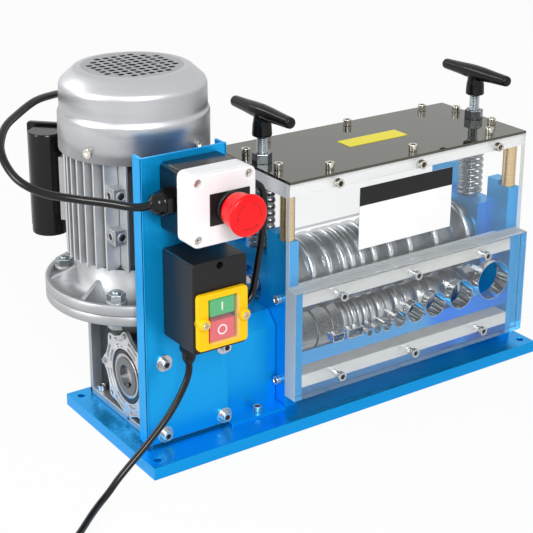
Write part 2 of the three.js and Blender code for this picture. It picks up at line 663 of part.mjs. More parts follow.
// Rails behind the panel, each with its screws through the panel and through the walls
const guideRail = (z) => join(
  box([INNER_LEFT, WALL_FRONT, z - RAIL_HEIGHT / 2],
    [INNER_RIGHT, WALL_FRONT + RAIL_DEPTH, z + RAIL_HEIGHT / 2]),
  panelScrewsX.map((x) => capScrew('y', [x, PANEL_FRONT, z], { reach: panelReach })),
  capScrew('x', [HEAD_LEFT, sideScrewY, z], { reach: sideReach, backwards: true }),
  capScrew('x', [HEAD_RIGHT, sideScrewY, z], { reach: sideReach }),
);
addPart('guide_rail_lower', guideRail(panelRows[0]), brushedAluminium);
addPart('guide_rail_upper', guideRail(panelRows[1]), brushedAluminium);

// Bearing blocks that slide in the wall slots
function bearingBlock(left) {
  const body = box([left, HEAD_Y - BLOCK_WIDTH / 2, BLOCK_FLOOR_Z],
    [left + CROSSBAR_WIDTH, HEAD_Y + BLOCK_WIDTH / 2, BLOCK_TOP]);
  const seat = rod(boreFor(BEARING_DIAMETER, RUNNING_GAP, ROUND_SIDES), CROSSBAR_WIDTH + 2 * OVERRUN, 'x',
    [left - OVERRUN, HEAD_Y, UPPER_AXIS_Z], ROUND_SIDES);
  const studHole = rod(boreFor(STUD_DIAMETER, STUD_GAP), STUD_DEPTH + OVERRUN, 'z',
    [left + CROSSBAR_WIDTH / 2, HEAD_Y, BLOCK_TOP - STUD_DEPTH]);
  return cut(body, seat, studHole);
}
addPart('bearing_block_left', bearingBlock(HEAD_LEFT), blueMetal);
addPart('bearing_block_right', bearingBlock(HEAD_RIGHT - CROSSBAR_WIDTH), blueMetal);
SPRING_X.forEach((x, k) => addPart(`upper_bearing_${sides[k]}`, bearing(x, UPPER_AXIS_Z), machinedSteel));

const STEEP_SHARE = 0.9;

// A tube swept along a smooth path, with both ends closed: a ring of points at each step
function sweptTube(path, diameter, sides, phase = 0) {
  const count = path.length;
  const positions = [];
  const normal = new THREE.Vector3();
  const tangents = path.map((point, k) =>
    path[Math.min(k + 1, count - 1)].clone().sub(path[Math.max(k - 1, 0)]).normalize());
  normal.crossVectors(tangents[0], Math.abs(tangents[0].z) < STEEP_SHARE ? new THREE.Vector3(0, 0, 1)
    : new THREE.Vector3(1, 0, 0)).normalize();
  path.forEach((point, k) => {
    normal.addScaledVector(tangents[k], -normal.dot(tangents[k])).normalize();
    const side = new THREE.Vector3().crossVectors(tangents[k], normal);
    for (let j = 0; j < sides; j += 1) {
      const turn = phase + (2 * Math.PI * j) / sides;
      const at = point.clone().addScaledVector(normal, Math.cos(turn) * diameter / 2)
        .addScaledVector(side, Math.sin(turn) * diameter / 2);
      positions.push(at.x, at.y, at.z);
    }
  });
  const faces = [];
  for (let k = 0; k < count - 1; k += 1) {
    for (let j = 0; j < sides; j += 1) {
      const [a, b] = [k * sides + j, k * sides + ((j + 1) % sides)];
      faces.push(a, b, b + sides, a, b + sides, a + sides);
    }
  }
  for (let j = 1; j < sides - 1; j += 1) {
    faces.push(0, j + 1, j);
    const last = (count - 1) * sides;
    faces.push(last, last + j, last + j + 1);
  }
  const geometry = new THREE.BufferGeometry();
  geometry.setAttribute('position', new THREE.BufferAttribute(new Float32Array(positions), 3));
  geometry.setIndex(faces);
  return solid(geometry);
}

// Least gap of a wound tube to itself, between points that are more than half a turn apart
function selfGap(path, diameter, stepsApart) {
  let least = Infinity;
  for (let i = 0; i < path.length; i += 1) {
    for (let j = i + stepsApart; j < path.length; j += 1) {
      least = Math.min(least, path[i].distanceTo(path[j]) - diameter);
    }
  }
  return least;
}

// Compression spring with flat end turns; each end runs straight for one wire diameter
function springPath(floor, top) {
  const radius = (SPRING_DIAMETER - SPRING_WIRE) / 2;
  const low = floor + SEAT_GAP + SPRING_WIRE / 2;
  const high = top - SEAT_GAP - SPRING_WIRE / 2;
  const middle = high - low - 2 * SPRING_END_PITCH;
  const steps = SPRING_TURNS * CURL_STEPS;
  const path = [];
  for (let k = 0; k <= steps; k += 1) {
    const turn = k / CURL_STEPS;
    const inner = THREE.MathUtils.clamp((turn - 1) / (SPRING_TURNS - 2), 0, 1);
    const z = low + SPRING_END_PITCH * Math.min(turn, 1) + middle * inner
      + SPRING_END_PITCH * Math.max(turn - SPRING_TURNS + 1, 0);
    path.push(new THREE.Vector3(radius * Math.cos(2 * Math.PI * turn),
      radius * Math.sin(2 * Math.PI * turn), z));
  }
  const start = path[0].clone().add(new THREE.Vector3(0, -SPRING_WIRE, 0));
  const end = path[steps].clone().add(new THREE.Vector3(0, SPRING_WIRE, 0));
  return [start, ...path, end];
}
const springLine = springPath(BLOCK_TOP, POST_TOP);
console.log('pressure springs, least gap to itself in mm:',
  selfGap(springLine, SPRING_WIRE, Math.ceil(CURL_STEPS * CURL_CHECK_SHARE)).toFixed(2));
sides.forEach((side, k) => {
  addPart(`pressure_spring_${side}`, sweptTube(springLine, SPRING_WIRE, WIRE_SIDES), springSteel)
    .position.set(SPRING_X[k], HEAD_Y, 0);
});

// Pressure screws with their T-handles
const HUB_FLOOR = PLATE_TOP + STUD_REACH;
const BAR_Z = HUB_FLOOR + HANDLE_RISE;
sides.forEach((side, k) => {
  const group = new THREE.Group();
  group.position.set(SPRING_X[k], HEAD_Y, 0);
  machine.add(group);
  const studFloor = BLOCK_TOP - STUD_DEPTH + SEAT_GAP;
  addPart(`pressure_screw_${side}`, rod(STUD_DIAMETER, HUB_FLOOR - studFloor, 'z', [0, 0, studFloor]),
    zinc, group);
  const bar = turned([
    [0, -HANDLE_LENGTH / 2], [HANDLE_TIP_DIAMETER * HANDLE_END_SHARE, -HANDLE_LENGTH / 2],
    [HANDLE_TIP_DIAMETER / 2, -HANDLE_LENGTH * HANDLE_TAPER_SHARE], [HANDLE_DIAMETER / 2, 0],
    [HANDLE_TIP_DIAMETER / 2, HANDLE_LENGTH * HANDLE_TAPER_SHARE],
    [HANDLE_TIP_DIAMETER * HANDLE_END_SHARE, HANDLE_LENGTH / 2], [0, HANDLE_LENGTH / 2],
  ], 'y', [0, 0, BAR_Z], PIN_SIDES);
  const hub = turned([
    [0, 0], [HANDLE_HUB_DIAMETER / 2, 0],
    [HANDLE_HUB_DIAMETER / 2, HANDLE_HUB_HEIGHT * HUB_SHOULDER_SHARE],
    [HANDLE_HUB_DIAMETER * HUB_NECK_SHARE, HANDLE_HUB_HEIGHT],
    [HANDLE_HUB_DIAMETER * HUB_TOP_SHARE, HANDLE_RISE], [0, HANDLE_RISE],
  ], 'z', [0, 0, HUB_FLOOR], PIN_SIDES);
  addPart(`t_handle_${side}`, join(bar, hub), blackPlastic, group);
});

// Upper roller: blades in line with the guide holes, spacers between them
const lanes = [...CHANNEL_SIZES.map(({ x }) => x), ...boreCentres];
const stackEnds = [HEAD_LEFT + CROSSBAR_WIDTH + HUB_GAP, HEAD_RIGHT - CROSSBAR_WIDTH - HUB_GAP];
const shaftBore = boreFor(SHAFT_DIAMETER, RUNNING_GAP, ROUND_SIDES);
addPart('upper_shaft', rod(SHAFT_DIAMETER, HEAD_RIGHT - HEAD_LEFT, 'x',
  [HEAD_LEFT, HEAD_Y, UPPER_AXIS_Z], ROUND_SIDES), machinedSteel);
const discStart = stackEnds[1] - END_DISC_WIDTH;
const stackOutline = lanes.flatMap((x) => [
  [SPACER_DIAMETER / 2, x - BLADE_WIDTH / 2], [BLADE_DIAMETER / 2, x],
  [SPACER_DIAMETER / 2, x + BLADE_WIDTH / 2],
]);
addPart('cutting_blades', turned([
  [shaftBore / 2, stackEnds[0]], [SPACER_DIAMETER / 2, stackEnds[0]], ...stackOutline,
  [SPACER_DIAMETER / 2, discStart], [END_DISC_DIAMETER / 2, discStart], [END_DISC_DIAMETER / 2, stackEnds[1]],
  [shaftBore / 2, stackEnds[1]], [shaftBore / 2, stackEnds[0]],
], 'x', [0, HEAD_Y, UPPER_AXIS_Z]), bladeSteel);

// Lower roller: one shaft from the gearbox through both walls, knurled and grooved feed rollers on it
const feedBore = boreFor(SHAFT_DIAMETER, RUNNING_GAP, ROUND_SIDES);
const keyway = box([GEARBOX_LEFT - OVERRUN, HEAD_Y - KEY_WIDTH / 2, LOWER_AXIS_Z - OUTPUT_BORE / 2 - OVERRUN],
  [GEARBOX_LEFT + KEY_LENGTH, HEAD_Y + KEY_WIDTH / 2, LOWER_AXIS_Z - OUTPUT_BORE / 2 + KEY_DEPTH]);
const lowerShaftStart = [GEARBOX_LEFT + HUB_GAP, HEAD_Y, LOWER_AXIS_Z];
const lowerShaft = join(
  rod(OUTPUT_BORE - 2 * RUNNING_GAP, GEARBOX_WIDTH - HUB_GAP, 'x', lowerShaftStart, ROUND_SIDES),
  rod(SHAFT_DIAMETER, HEAD_RIGHT - GEARBOX_LEFT - HUB_GAP, 'x', lowerShaftStart, ROUND_SIDES),
);
addPart('lower_shaft', cut(lowerShaft, keyway), machinedSteel);

// The first rollers are knurled, and the rest have a groove in line with each cable
const knurlShape = outline(evenly(2 * KNURL_TEETH).map((turn, k) => {
  const radius = FEED_DIAMETER / 2 - (k % 2) * KNURL_DEPTH;
  return [radius * Math.cos(turn), radius * Math.sin(turn)];
}));
const feedStart = lanes[0] - (lanes[1] - lanes[0]) / 2;
const knurlEnd = (lanes[KNURLED_LANES - 1] + lanes[KNURLED_LANES]) / 2;
const knurledRoller = pushed(knurlShape, knurlEnd - feedStart, 'x', [feedStart, HEAD_Y, LOWER_AXIS_Z]);
const groovedRollers = turned([
  [0, knurlEnd - FEED_EDGE], [FEED_DIAMETER / 2 - FEED_EDGE, knurlEnd - FEED_EDGE],
  [FEED_DIAMETER / 2 - FEED_EDGE, knurlEnd + FEED_EDGE], [FEED_DIAMETER / 2, knurlEnd + FEED_EDGE],
  ...lanes.slice(KNURLED_LANES).flatMap((x) => [[FEED_DIAMETER / 2, x - FEED_GROOVE_WIDTH / 2],
    [FEED_DIAMETER / 2 - FEED_GROOVE, x], [FEED_DIAMETER / 2, x + FEED_GROOVE_WIDTH / 2]]),
  [FEED_DIAMETER / 2, discStart], [0, discStart],
], 'x', [0, HEAD_Y, LOWER_AXIS_Z]);
addPart('feed_rollers', cut(join(knurledRoller, groovedRollers), rod(feedBore, WALL_SPAN, 'x',
  [INNER_LEFT, HEAD_Y, LOWER_AXIS_Z], ROUND_SIDES)), machinedSteel);

// Pieces set round an upright axis: a flat rib whose outline is [radius, height], and a radial rod
function radialRib(points, thick, angle, centre) {
  const geometry = new THREE.ExtrudeGeometry(outline(points), { depth: thick, bevelEnabled: false });
  geometry.translate(0, 0, -thick / 2);
  geometry.rotateX(Math.PI / 2);
  geometry.rotateZ(angle);
  geometry.translate(...centre);
  return solid(geometry);
}

function radialRod(diameter, length, start, angle, centre) {
  const geometry = new THREE.CylinderGeometry(diameter / 2, diameter / 2, length, SCREW_SIDES);
  geometry.rotateZ(-Math.PI / 2);
  geometry.translate(start + length / 2, 0, 0);
  geometry.rotateZ(angle);
  geometry.translate(...centre);
  return solid(geometry);
}

// Cable gland: a nut, a dome and a neck that the cable leaves square
function gland(axis, sign, at, cordDiameter, length = GLAND_LENGTH) {
  const nut = Math.min(GLAND_NUT, length / 2);
  const profile = [[0, -GLAND_SINK], [GLAND_DIAMETER / 2, -GLAND_SINK], [GLAND_DIAMETER / 2, nut],
    [GLAND_NECK / 2, nut + GLAND_LIP], [GLAND_NECK / 2, length * GLAND_DOME_SHARE],
    [cordDiameter / 2 + GLAND_LIP, length], [0, length]];
  return turned(profile.map(([radius, along]) => [radius, sign * along]), axis, at, SCREW_SIDES);
}

// Worm gearbox housing with its input flange
const flangeBolts = evenly(FLANGE_BOLTS, Math.PI / 4).map((angle) => [
  GEARBOX_X + FLANGE_BOLT_CIRCLE / 2 * Math.cos(angle), WORM_Y + FLANGE_BOLT_CIRCLE / 2 * Math.sin(angle)]);
const gearboxFront = HEAD_Y - GEARBOX_FRONT;
const gearboxBack = HEAD_Y + GEARBOX_REAR;
const coverSeat = [GEARBOX_LEFT + COVER_THICK, GEARBOX_RIGHT - COVER_THICK];
const hubBore = boreFor(OUTPUT_HUB_DIAMETER, RUNNING_GAP, ROUND_SIDES);
const motorBore = boreFor(MOTOR_SHAFT_DIAMETER, RUNNING_GAP);
const gearboxCore = box([GEARBOX_X - GEARBOX_CORE_WIDTH / 2, gearboxFront, BASE_TOP],
  [GEARBOX_X + GEARBOX_CORE_WIDTH / 2, gearboxBack, GEARBOX_TOP_Z]);
const gearboxPlates = [
  box([GEARBOX_LEFT, gearboxFront, BASE_TOP], [GEARBOX_RIGHT, gearboxBack, BASE_TOP + GEARBOX_FOOT]),
  box([GEARBOX_LEFT, gearboxBack - GEARBOX_RIM, BASE_TOP], [GEARBOX_RIGHT, gearboxBack, GEARBOX_TOP_Z]),
  box([GEARBOX_LEFT, gearboxFront, BASE_TOP], [GEARBOX_RIGHT, gearboxFront + GEARBOX_RIM, GEARBOX_TOP_Z]),
];
const gearboxBoss = rod(GEARBOX_BOSS_DIAMETER, coverSeat[1] - coverSeat[0], 'x',
  [coverSeat[0], HEAD_Y, LOWER_AXIS_Z], ROUND_SIDES);
const inputFlange = rod(FLANGE_DIAMETER, FLANGE_THICK, 'z', [GEARBOX_X, WORM_Y, GEARBOX_TOP_Z],
  ROUND_BODY_SIDES);
const footScrews = [GEARBOX_LEFT + FOOT_SCREW_MARGIN, GEARBOX_RIGHT - FOOT_SCREW_MARGIN].map((x) =>
  capScrew('z', [x, gearboxBack - FOOT_SCREW_INSET, BASE_TOP + GEARBOX_FOOT]));
const boltHeads = flangeBolts.map(([x, y]) =>
  hexagon(HEX_BOLT_ACROSS, HEX_BOLT_HEIGHT, 'z', [x, y, GEARBOX_TOP_Z - HEX_BOLT_HEIGHT]));
const coverRecesses = [GEARBOX_LEFT - OVERRUN, coverSeat[1]].map((x) => rod(COVER_DIAMETER + 2 * SEAT_GAP,
  COVER_THICK + OVERRUN, 'x', [x, HEAD_Y, LOWER_AXIS_Z], ROUND_SIDES));
const gearboxBody = join(gearboxCore, gearboxPlates, gearboxBoss, inputFlange, footScrews, boltHeads);
addPart('gearbox_housing', cut(gearboxBody, coverRecesses,
  rod(hubBore, GEARBOX_WIDTH + 2 * OVERRUN, 'x', [GEARBOX_LEFT - OVERRUN, HEAD_Y, LOWER_AXIS_Z], ROUND_SIDES),
  rod(motorBore, FLANGE_TOP - MOTOR_SHAFT_FLOOR_Z + SEAT_GAP, 'z',
    [GEARBOX_X, WORM_Y, MOTOR_SHAFT_FLOOR_Z - SEAT_GAP])), castAluminium);

// Star-shaped covers on both sides, with pockets between their lobes, bolts and a sunk shaft seal
function pocket([low, high], angle, spread, x) {
  const shape = new THREE.Shape();
  shape.absarc(0, 0, high, angle - spread, angle + spread, false);
  shape.absarc(0, 0, low, angle + spread, angle - spread, true);
  return pushed(shape, POCKET_DEPTH + OVERRUN, 'x', [x, HEAD_Y, LOWER_AXIS_Z], 1);
}

function sideCover(inner, outward) {
  const [valley, reach] = [COVER_VALLEY_DIAMETER / 2, COVER_DIAMETER / 2];
  const star = outline(evenly(COVER_LOBES * 4).map((angle) => {
    const lobe = (1 + Math.cos(COVER_LOBES * angle)) / 2;
    const radius = valley + (reach - valley) * lobe ** 2;
    return [radius * Math.cos(angle), radius * Math.sin(angle)];
  }));
  const left = Math.min(inner, inner + outward * COVER_THICK);
  const plate = pushed(star, COVER_THICK, 'x', [left, HEAD_Y, LOWER_AXIS_Z]);
  const face = inner + outward * COVER_THICK;
  const pocketStart = outward < 0 ? face - OVERRUN : face - POCKET_DEPTH;
  const halfPitch = Math.PI / COVER_LOBES;
  const pockets = evenly(COVER_LOBES, halfPitch).map((angle) =>
    pocket([POCKET_INNER, POCKET_OUTER], angle, halfPitch * POCKET_SPREAD_SHARE, pocketStart));
  const lobeHoles = lobeAngles(1).map(([y, z]) => rod(LOBE_HOLE, 2 * OVERRUN, 'x',
    [pocketStart, y, z], SCREW_SIDES / 2));
  const bolts = lobeAngles(0).map(([y, z]) => hexagon(LOBE_HOLE, LOBE_BOLT_HEIGHT, 'x',
    [outward < 0 ? face - LOBE_BOLT_HEIGHT : face, y, z]));
  const sealWell = rod(SEAL_DIAMETER, 2 * SEAL_RECESS, 'x', [face - SEAL_RECESS, HEAD_Y, LOWER_AXIS_Z],
    ROUND_SIDES);
  const hole = rod(hubBore, COVER_THICK + 2 * OVERRUN, 'x', [left - OVERRUN, HEAD_Y, LOWER_AXIS_Z],
    ROUND_SIDES);
  return join(cut(plate, hole, sealWell, pockets, lobeHoles), bolts);
}

// Every other lobe holds a bolt, and the rest have a hole
function lobeAngles(parity) {
  const radius = (POCKET_OUTER + COVER_DIAMETER / 2) / 2;
  return evenly(COVER_LOBES).filter((_, k) => k % 2 === parity).map((angle) =>
    [HEAD_Y + radius * Math.cos(angle), LOWER_AXIS_Z + radius * Math.sin(angle)]);
}
addPart('gearbox_cover_left', sideCover(coverSeat[0], -1), castAluminium);
addPart('gearbox_cover_right', sideCover(coverSeat[1], 1), castAluminium);

// Hollow output shaft
addPart('output_hub', ring(OUTPUT_HUB_DIAMETER, boreFor(OUTPUT_BORE, 0, ROUND_SIDES), GEARBOX_WIDTH, 'x',
  [GEARBOX_LEFT, HEAD_Y, LOWER_AXIS_Z]), machinedSteel);

// Motor housing: flange with gussets, shoulder, finned barrel, foot pads and the rim that takes the cover
const motorAt = [GEARBOX_X, WORM_Y, 0];
const flangeFloor = GEARBOX_TOP_Z + FLANGE_THICK;
const flangeInner = FLANGE_TOP - FLANGE_RIM_RISE;
const rimDiameter = FAN_COVER_DIAMETER - 2 * FAN_COVER_WALL - 2 * SEAT_GAP;
const barrel = turned([
  [0, flangeFloor], [FLANGE_DIAMETER / 2, flangeFloor], [FLANGE_DIAMETER / 2, FLANGE_TOP],
  [FLANGE_DIAMETER / 2 - FLANGE_RIM, FLANGE_TOP], [FLANGE_DIAMETER / 2 - FLANGE_RIM, flangeInner],
  [MOTOR_FOOT_DIAMETER / 2, flangeInner], [MOTOR_FOOT_DIAMETER / 2, MOTOR_FIN_FLOOR - MOTOR_SHOULDER_SLOPE],
  [MOTOR_CORE_DIAMETER / 2, MOTOR_FIN_FLOOR], [MOTOR_CORE_DIAMETER / 2, MOTOR_FIN_TOP],
  [rimDiameter / 2, MOTOR_FIN_TOP], [rimDiameter / 2, MOTOR_TOP], [0, MOTOR_TOP],
], 'z', motorAt, ROUND_BODY_SIDES);
const gussetReach = FLANGE_DIAMETER / 2 - FLANGE_RIM / 2;
const gussets = evenly(GUSSETS, Math.PI / GUSSETS).map((angle) => radialRib([
  [MOTOR_CORE_DIAMETER / 2, flangeInner - GUSSET_THICK / 2], [gussetReach, flangeInner - GUSSET_TOE],
  [gussetReach, flangeInner + GUSSET_TOE], [MOTOR_CORE_DIAMETER / 2, flangeInner + GUSSET_HEIGHT],
], GUSSET_THICK, angle, motorAt));
const bosses = flangeBolts.map(([x, y]) => rod(FLANGE_BOSS, FLANGE_RIM_RISE + OVERRUN, 'z',
  [x, y, FLANGE_TOP - FLANGE_RIM_RISE - OVERRUN]));
const finEnvelope = rod(MOTOR_FIN_DIAMETER, MOTOR_FIN_HEIGHT, 'z', [GEARBOX_X, WORM_Y, MOTOR_FIN_FLOOR],
  ROUND_BODY_SIDES);
const finOffsets = Array.from({ length: 2 * FINS_EACH_SIDE + 1 }, (_, k) => (k - FINS_EACH_SIDE) * FIN_PITCH);
const finBoxes = finOffsets.flatMap((offset) => [
  box([GEARBOX_X - FLANGE_DIAMETER / 2, WORM_Y + offset - FIN_THICK / 2, MOTOR_FIN_FLOOR],
    [GEARBOX_X + FLANGE_DIAMETER / 2, WORM_Y + offset + FIN_THICK / 2, MOTOR_FIN_TOP]),
  box([GEARBOX_X + offset - FIN_THICK / 2, WORM_Y - FLANGE_DIAMETER / 2, MOTOR_FIN_FLOOR],
    [GEARBOX_X + offset + FIN_THICK / 2, WORM_Y + FLANGE_DIAMETER / 2, MOTOR_FIN_TOP]),
]);
const fins = join(finBoxes).intersect(finEnvelope);
const padCorners = [[-1, -1], [1, -1], [1, 1]];
const pads = padCorners.flatMap(([sx, sy]) => PAD_HEIGHTS.map((z) => {
  const reach = [PAD_OUTER - PAD_WIDTH, PAD_OUTER];
  const xs = reach.map((value) => GEARBOX_X + sx * value).sort((p, q) => p - q);
  const ys = reach.map((value) => WORM_Y + sy * value).sort((p, q) => p - q);
  return cut(box([xs[0], ys[0], z - PAD_HEIGHT / 2], [xs[1], ys[1], z + PAD_HEIGHT / 2]),
    rod(PAD_HOLE, PAD_WIDTH / 2 + OVERRUN, 'x', [sx < 0 ? xs[0] - OVERRUN : xs[1] - PAD_WIDTH / 2,
      (ys[0] + ys[1]) / 2, z], SCREW_SIDES / 2));
}));
const capacitorPad = radialRib([
  [MOTOR_CORE_DIAMETER / 2 - OVERRUN, CAPACITOR_FLOOR_Z + (CAPACITOR_HEIGHT - CAPACITOR_PAD_HEIGHT) / 2],
  [CAPACITOR_PAD_REACH, CAPACITOR_FLOOR_Z + (CAPACITOR_HEIGHT - CAPACITOR_PAD_HEIGHT) / 2],
  [CAPACITOR_PAD_REACH, CAPACITOR_FLOOR_Z + (CAPACITOR_HEIGHT + CAPACITOR_PAD_HEIGHT) / 2],
  [MOTOR_CORE_DIAMETER / 2 - OVERRUN, CAPACITOR_FLOOR_Z + (CAPACITOR_HEIGHT + CAPACITOR_PAD_HEIGHT) / 2],
], CAPACITOR_PAD_WIDTH, CAPACITOR_ANGLE, motorAt);
const flangeNuts = flangeBolts.map(([x, y]) =>
  hexagon(HEX_BOLT_ACROSS, HEX_BOLT_HEIGHT, 'z', [x, y, FLANGE_TOP]));
addPart('motor_housing', cut(join(barrel, gussets, bosses, fins, pads, capacitorPad, flangeNuts),
  rod(motorBore, MOTOR_TOP - flangeFloor + 2 * OVERRUN, 'z',
    [GEARBOX_X, WORM_Y, flangeFloor - OVERRUN])), castAluminium);

// Motor shaft and cooling fan
const fanFloor = MOTOR_TOP + FAN_RISE;
addPart('motor_shaft', rod(MOTOR_SHAFT_DIAMETER, fanFloor + FAN_HEIGHT - MOTOR_SHAFT_FLOOR_Z, 'z',
  [GEARBOX_X, WORM_Y, MOTOR_SHAFT_FLOOR_Z]), machinedSteel);
const fanRoot = FAN_HUB_DIAMETER / 2 - FAN_BLADE_THICK;
const fanBlades = evenly(FAN_BLADES).map((angle) => radialRib([
  [fanRoot, fanFloor], [FAN_DIAMETER / 2, fanFloor],
  [FAN_DIAMETER / 2, fanFloor + FAN_HEIGHT * FAN_TIP_SHARE], [fanRoot, fanFloor + FAN_HEIGHT],
], FAN_BLADE_THICK, angle, motorAt));
addPart('cooling_fan', cut(join(
  rod(FAN_HUB_DIAMETER, FAN_HEIGHT, 'z', [GEARBOX_X, WORM_Y, fanFloor]),
  rod(FAN_DIAMETER, FAN_DISC, 'z', [GEARBOX_X, WORM_Y, fanFloor], ROUND_SIDES), fanBlades,
), rod(motorBore, FAN_HEIGHT + 2 * OVERRUN, 'z', [GEARBOX_X, WORM_Y, fanFloor - OVERRUN])), blackPlastic);

// Fan cover: a turned shell in three bands, with a pierced flat top
const skirt = FAN_COVER_DIAMETER / 2;
const [band, collar] = [skirt - FAN_COVER_STEP, skirt - 2 * FAN_COVER_STEP];
const bandFloor = FAN_COVER_FLOOR + FAN_COVER_SKIRT;
const collarFloor = bandFloor + FAN_COVER_BAND;
const shoulderFloor = FAN_COVER_TOP - FAN_COVER_SHOULDER - FAN_COVER_STEP;
const shoulder = [0, 1, 2].map((k) => [
  GRILLE_DIAMETER / 2 + (collar - GRILLE_DIAMETER / 2) * Math.cos((k * Math.PI) / 4),
  shoulderFloor + (FAN_COVER_TOP - shoulderFloor) * Math.sin((k * Math.PI) / 4)]);
const coverBands = [[skirt, FAN_COVER_FLOOR], [skirt, bandFloor], [band, bandFloor + FAN_COVER_STEP],
  [band, collarFloor], [collar, collarFloor + FAN_COVER_STEP], ...shoulder, [0, FAN_COVER_TOP]];
const innerRadius = FAN_COVER_DIAMETER / 2 - FAN_COVER_WALL;
const innerTop = FAN_COVER_TOP - FAN_COVER_WALL;
const shell = turned([...coverBands.reverse(), [innerRadius, FAN_COVER_FLOOR],
  [innerRadius, FAN_COVER_FLOOR + FAN_COVER_SKIRT - FAN_COVER_WALL], [innerRadius - 2 * FAN_COVER_STEP,
    shoulderFloor - FAN_COVER_WALL], [GRILLE_DIAMETER / 2 + FAN_COVER_WALL, innerTop], [0, innerTop],
], 'z', motorAt, ROUND_BODY_SIDES);
const grilleOffsets = Array.from({ length: GRILLE_ROWS }, (_, k) =>
  (k - (GRILLE_ROWS - 1) / 2) * GRILLE_PITCH);
const grilleHoles = grilleOffsets.flatMap((x) => grilleOffsets
  .filter((y) => Math.hypot(x, y) < GRILLE_DIAMETER / 2 - GRILLE_HOLE)
  .map((y) => box([GEARBOX_X + x - GRILLE_HOLE / 2, WORM_Y + y - GRILLE_HOLE / 2, FAN_COVER_TOP - OVERRUN],
    [GEARBOX_X + x + GRILLE_HOLE / 2, WORM_Y + y + GRILLE_HOLE / 2, FAN_COVER_TOP + OVERRUN])));
const fanCoverScrews = evenly(FAN_COVER_SCREWS, FAN_COVER_SCREW_ANGLE).map((angle) => radialRod(
  FAN_COVER_SCREW, FAN_COVER_WALL / 2 + FAN_COVER_SCREW_HEIGHT, (FAN_COVER_DIAMETER - FAN_COVER_WALL) / 2, angle,
  [GEARBOX_X, WORM_Y, FAN_COVER_FLOOR + FAN_COVER_SCREW_RISE]));
addPart('fan_cover', join(cut(shell, grilleHoles), fanCoverScrews), brushedAluminium);

// Capacitor box, in a group turned to its side of the motor: +X points away from the motor
const capacitorGroup = new THREE.Group();
capacitorGroup.position.set(GEARBOX_X, WORM_Y, 0);
capacitorGroup.rotation.z = CAPACITOR_ANGLE;
machine.add(capacitorGroup);
const capacitorNear = CAPACITOR_PAD_REACH + SEAT_GAP;
const capacitorShape = new THREE.Shape();
capacitorShape.moveTo(0, 0);
capacitorShape.lineTo(0, CAPACITOR_DEPTH - CAPACITOR_WIDTH / 2);
capacitorShape.absarc(CAPACITOR_WIDTH / 2, CAPACITOR_DEPTH - CAPACITOR_WIDTH / 2, CAPACITOR_WIDTH / 2,
  Math.PI, 0, true);
capacitorShape.lineTo(CAPACITOR_WIDTH, 0);
addPart('capacitor_box', pushed(capacitorShape, CAPACITOR_HEIGHT, 'z',
  [capacitorNear, CAPACITOR_BACK, CAPACITOR_FLOOR_Z], 8), blackPlastic, capacitorGroup);
const capacitorLidBack = CAPACITOR_BACK - SEAT_GAP - CAPACITOR_LID_THICK;
addPart('capacitor_lid', join(box(
  [capacitorNear, capacitorLidBack, CAPACITOR_FLOOR_Z - CAPACITOR_LID_LIP],
  [capacitorNear + CAPACITOR_LID_WIDTH, CAPACITOR_BACK - SEAT_GAP,
    CAPACITOR_FLOOR_Z + CAPACITOR_HEIGHT + CAPACITOR_LID_LIP]),
gland('y', 1, [capacitorNear + CAPACITOR_WIDTH / 2, capacitorLidBack, MOTOR_LEAD_Z], MOTOR_LEAD_DIAMETER,
  GLAND_SHORT)), blackPlastic, capacitorGroup);

// Sheet bracket on the gearbox front: a plate with a full lip on the left and a short one on the right
const bracketRight = BRACKET_LEFT + BRACKET_WIDTH;
const bracketScrews = [0, 1].flatMap((column) => [0, 1].map((row) => capScrew('y', [
  BRACKET_LEFT + BRACKET_SCREW_INSET + column * BRACKET_SCREW_SPACING_X, BRACKET_FRONT,
  BRACKET_SCREW_Z + row * BRACKET_SCREW_SPACING_Z], { washer: true })));
addPart('control_bracket', join(
  box([BRACKET_LEFT, BRACKET_FRONT, BRACKET_FLOOR_Z], [bracketRight, BRACKET_BACK, BRACKET_TOP_Z]),
  box([BRACKET_LEFT, BRACKET_FRONT, BRACKET_FLOOR_Z],
    [BRACKET_LEFT + SHEET, BRACKET_BACK + BRACKET_LIP, BRACKET_TOP_Z]),
  box([bracketRight - SHEET, BRACKET_FRONT, BRACKET_RIGHT_LIP_Z],
    [bracketRight, BRACKET_BACK + BRACKET_LIP, BRACKET_TOP_Z]),
  bracketScrews,
), blueMetal);

// Cover over the drive end of the lower shaft, a bent sheet with a foot on both sides
const [half, rise] = [DRIVE_COVER_WIDTH / 2, DRIVE_COVER_TOP_Z];
const coverShape = outline([
  [-half - DRIVE_COVER_FOOT, BASE_TOP], [-half + SHEET, BASE_TOP], [-half + SHEET, rise - DRIVE_COVER_BEND],
  [-half + DRIVE_COVER_BEND, rise - SHEET], [half - DRIVE_COVER_BEND, rise - SHEET],
  [half - SHEET, rise - DRIVE_COVER_BEND], [half - SHEET, BASE_TOP], [half + DRIVE_COVER_FOOT, BASE_TOP],
  [half + DRIVE_COVER_FOOT, BASE_TOP + SHEET], [half, BASE_TOP + SHEET], [half, rise - DRIVE_COVER_BEND],
  [half - DRIVE_COVER_BEND, rise], [-half + DRIVE_COVER_BEND, rise], [-half, rise - DRIVE_COVER_BEND],
  [-half, BASE_TOP + SHEET], [-half - DRIVE_COVER_FOOT, BASE_TOP + SHEET],
]);
const driveCoverLeft = GEARBOX_RIGHT + LOBE_BOLT_HEIGHT + DRIVE_COVER_GAP;
const driveCoverRight = HEAD_LEFT - DRIVE_COVER_GAP;
const driveCoverScrews = [-1, 1].map((side) => capScrew('z', [(driveCoverLeft + driveCoverRight) / 2,
  HEAD_Y + side * (half + DRIVE_COVER_FOOT / 2), BASE_TOP + SHEET]));
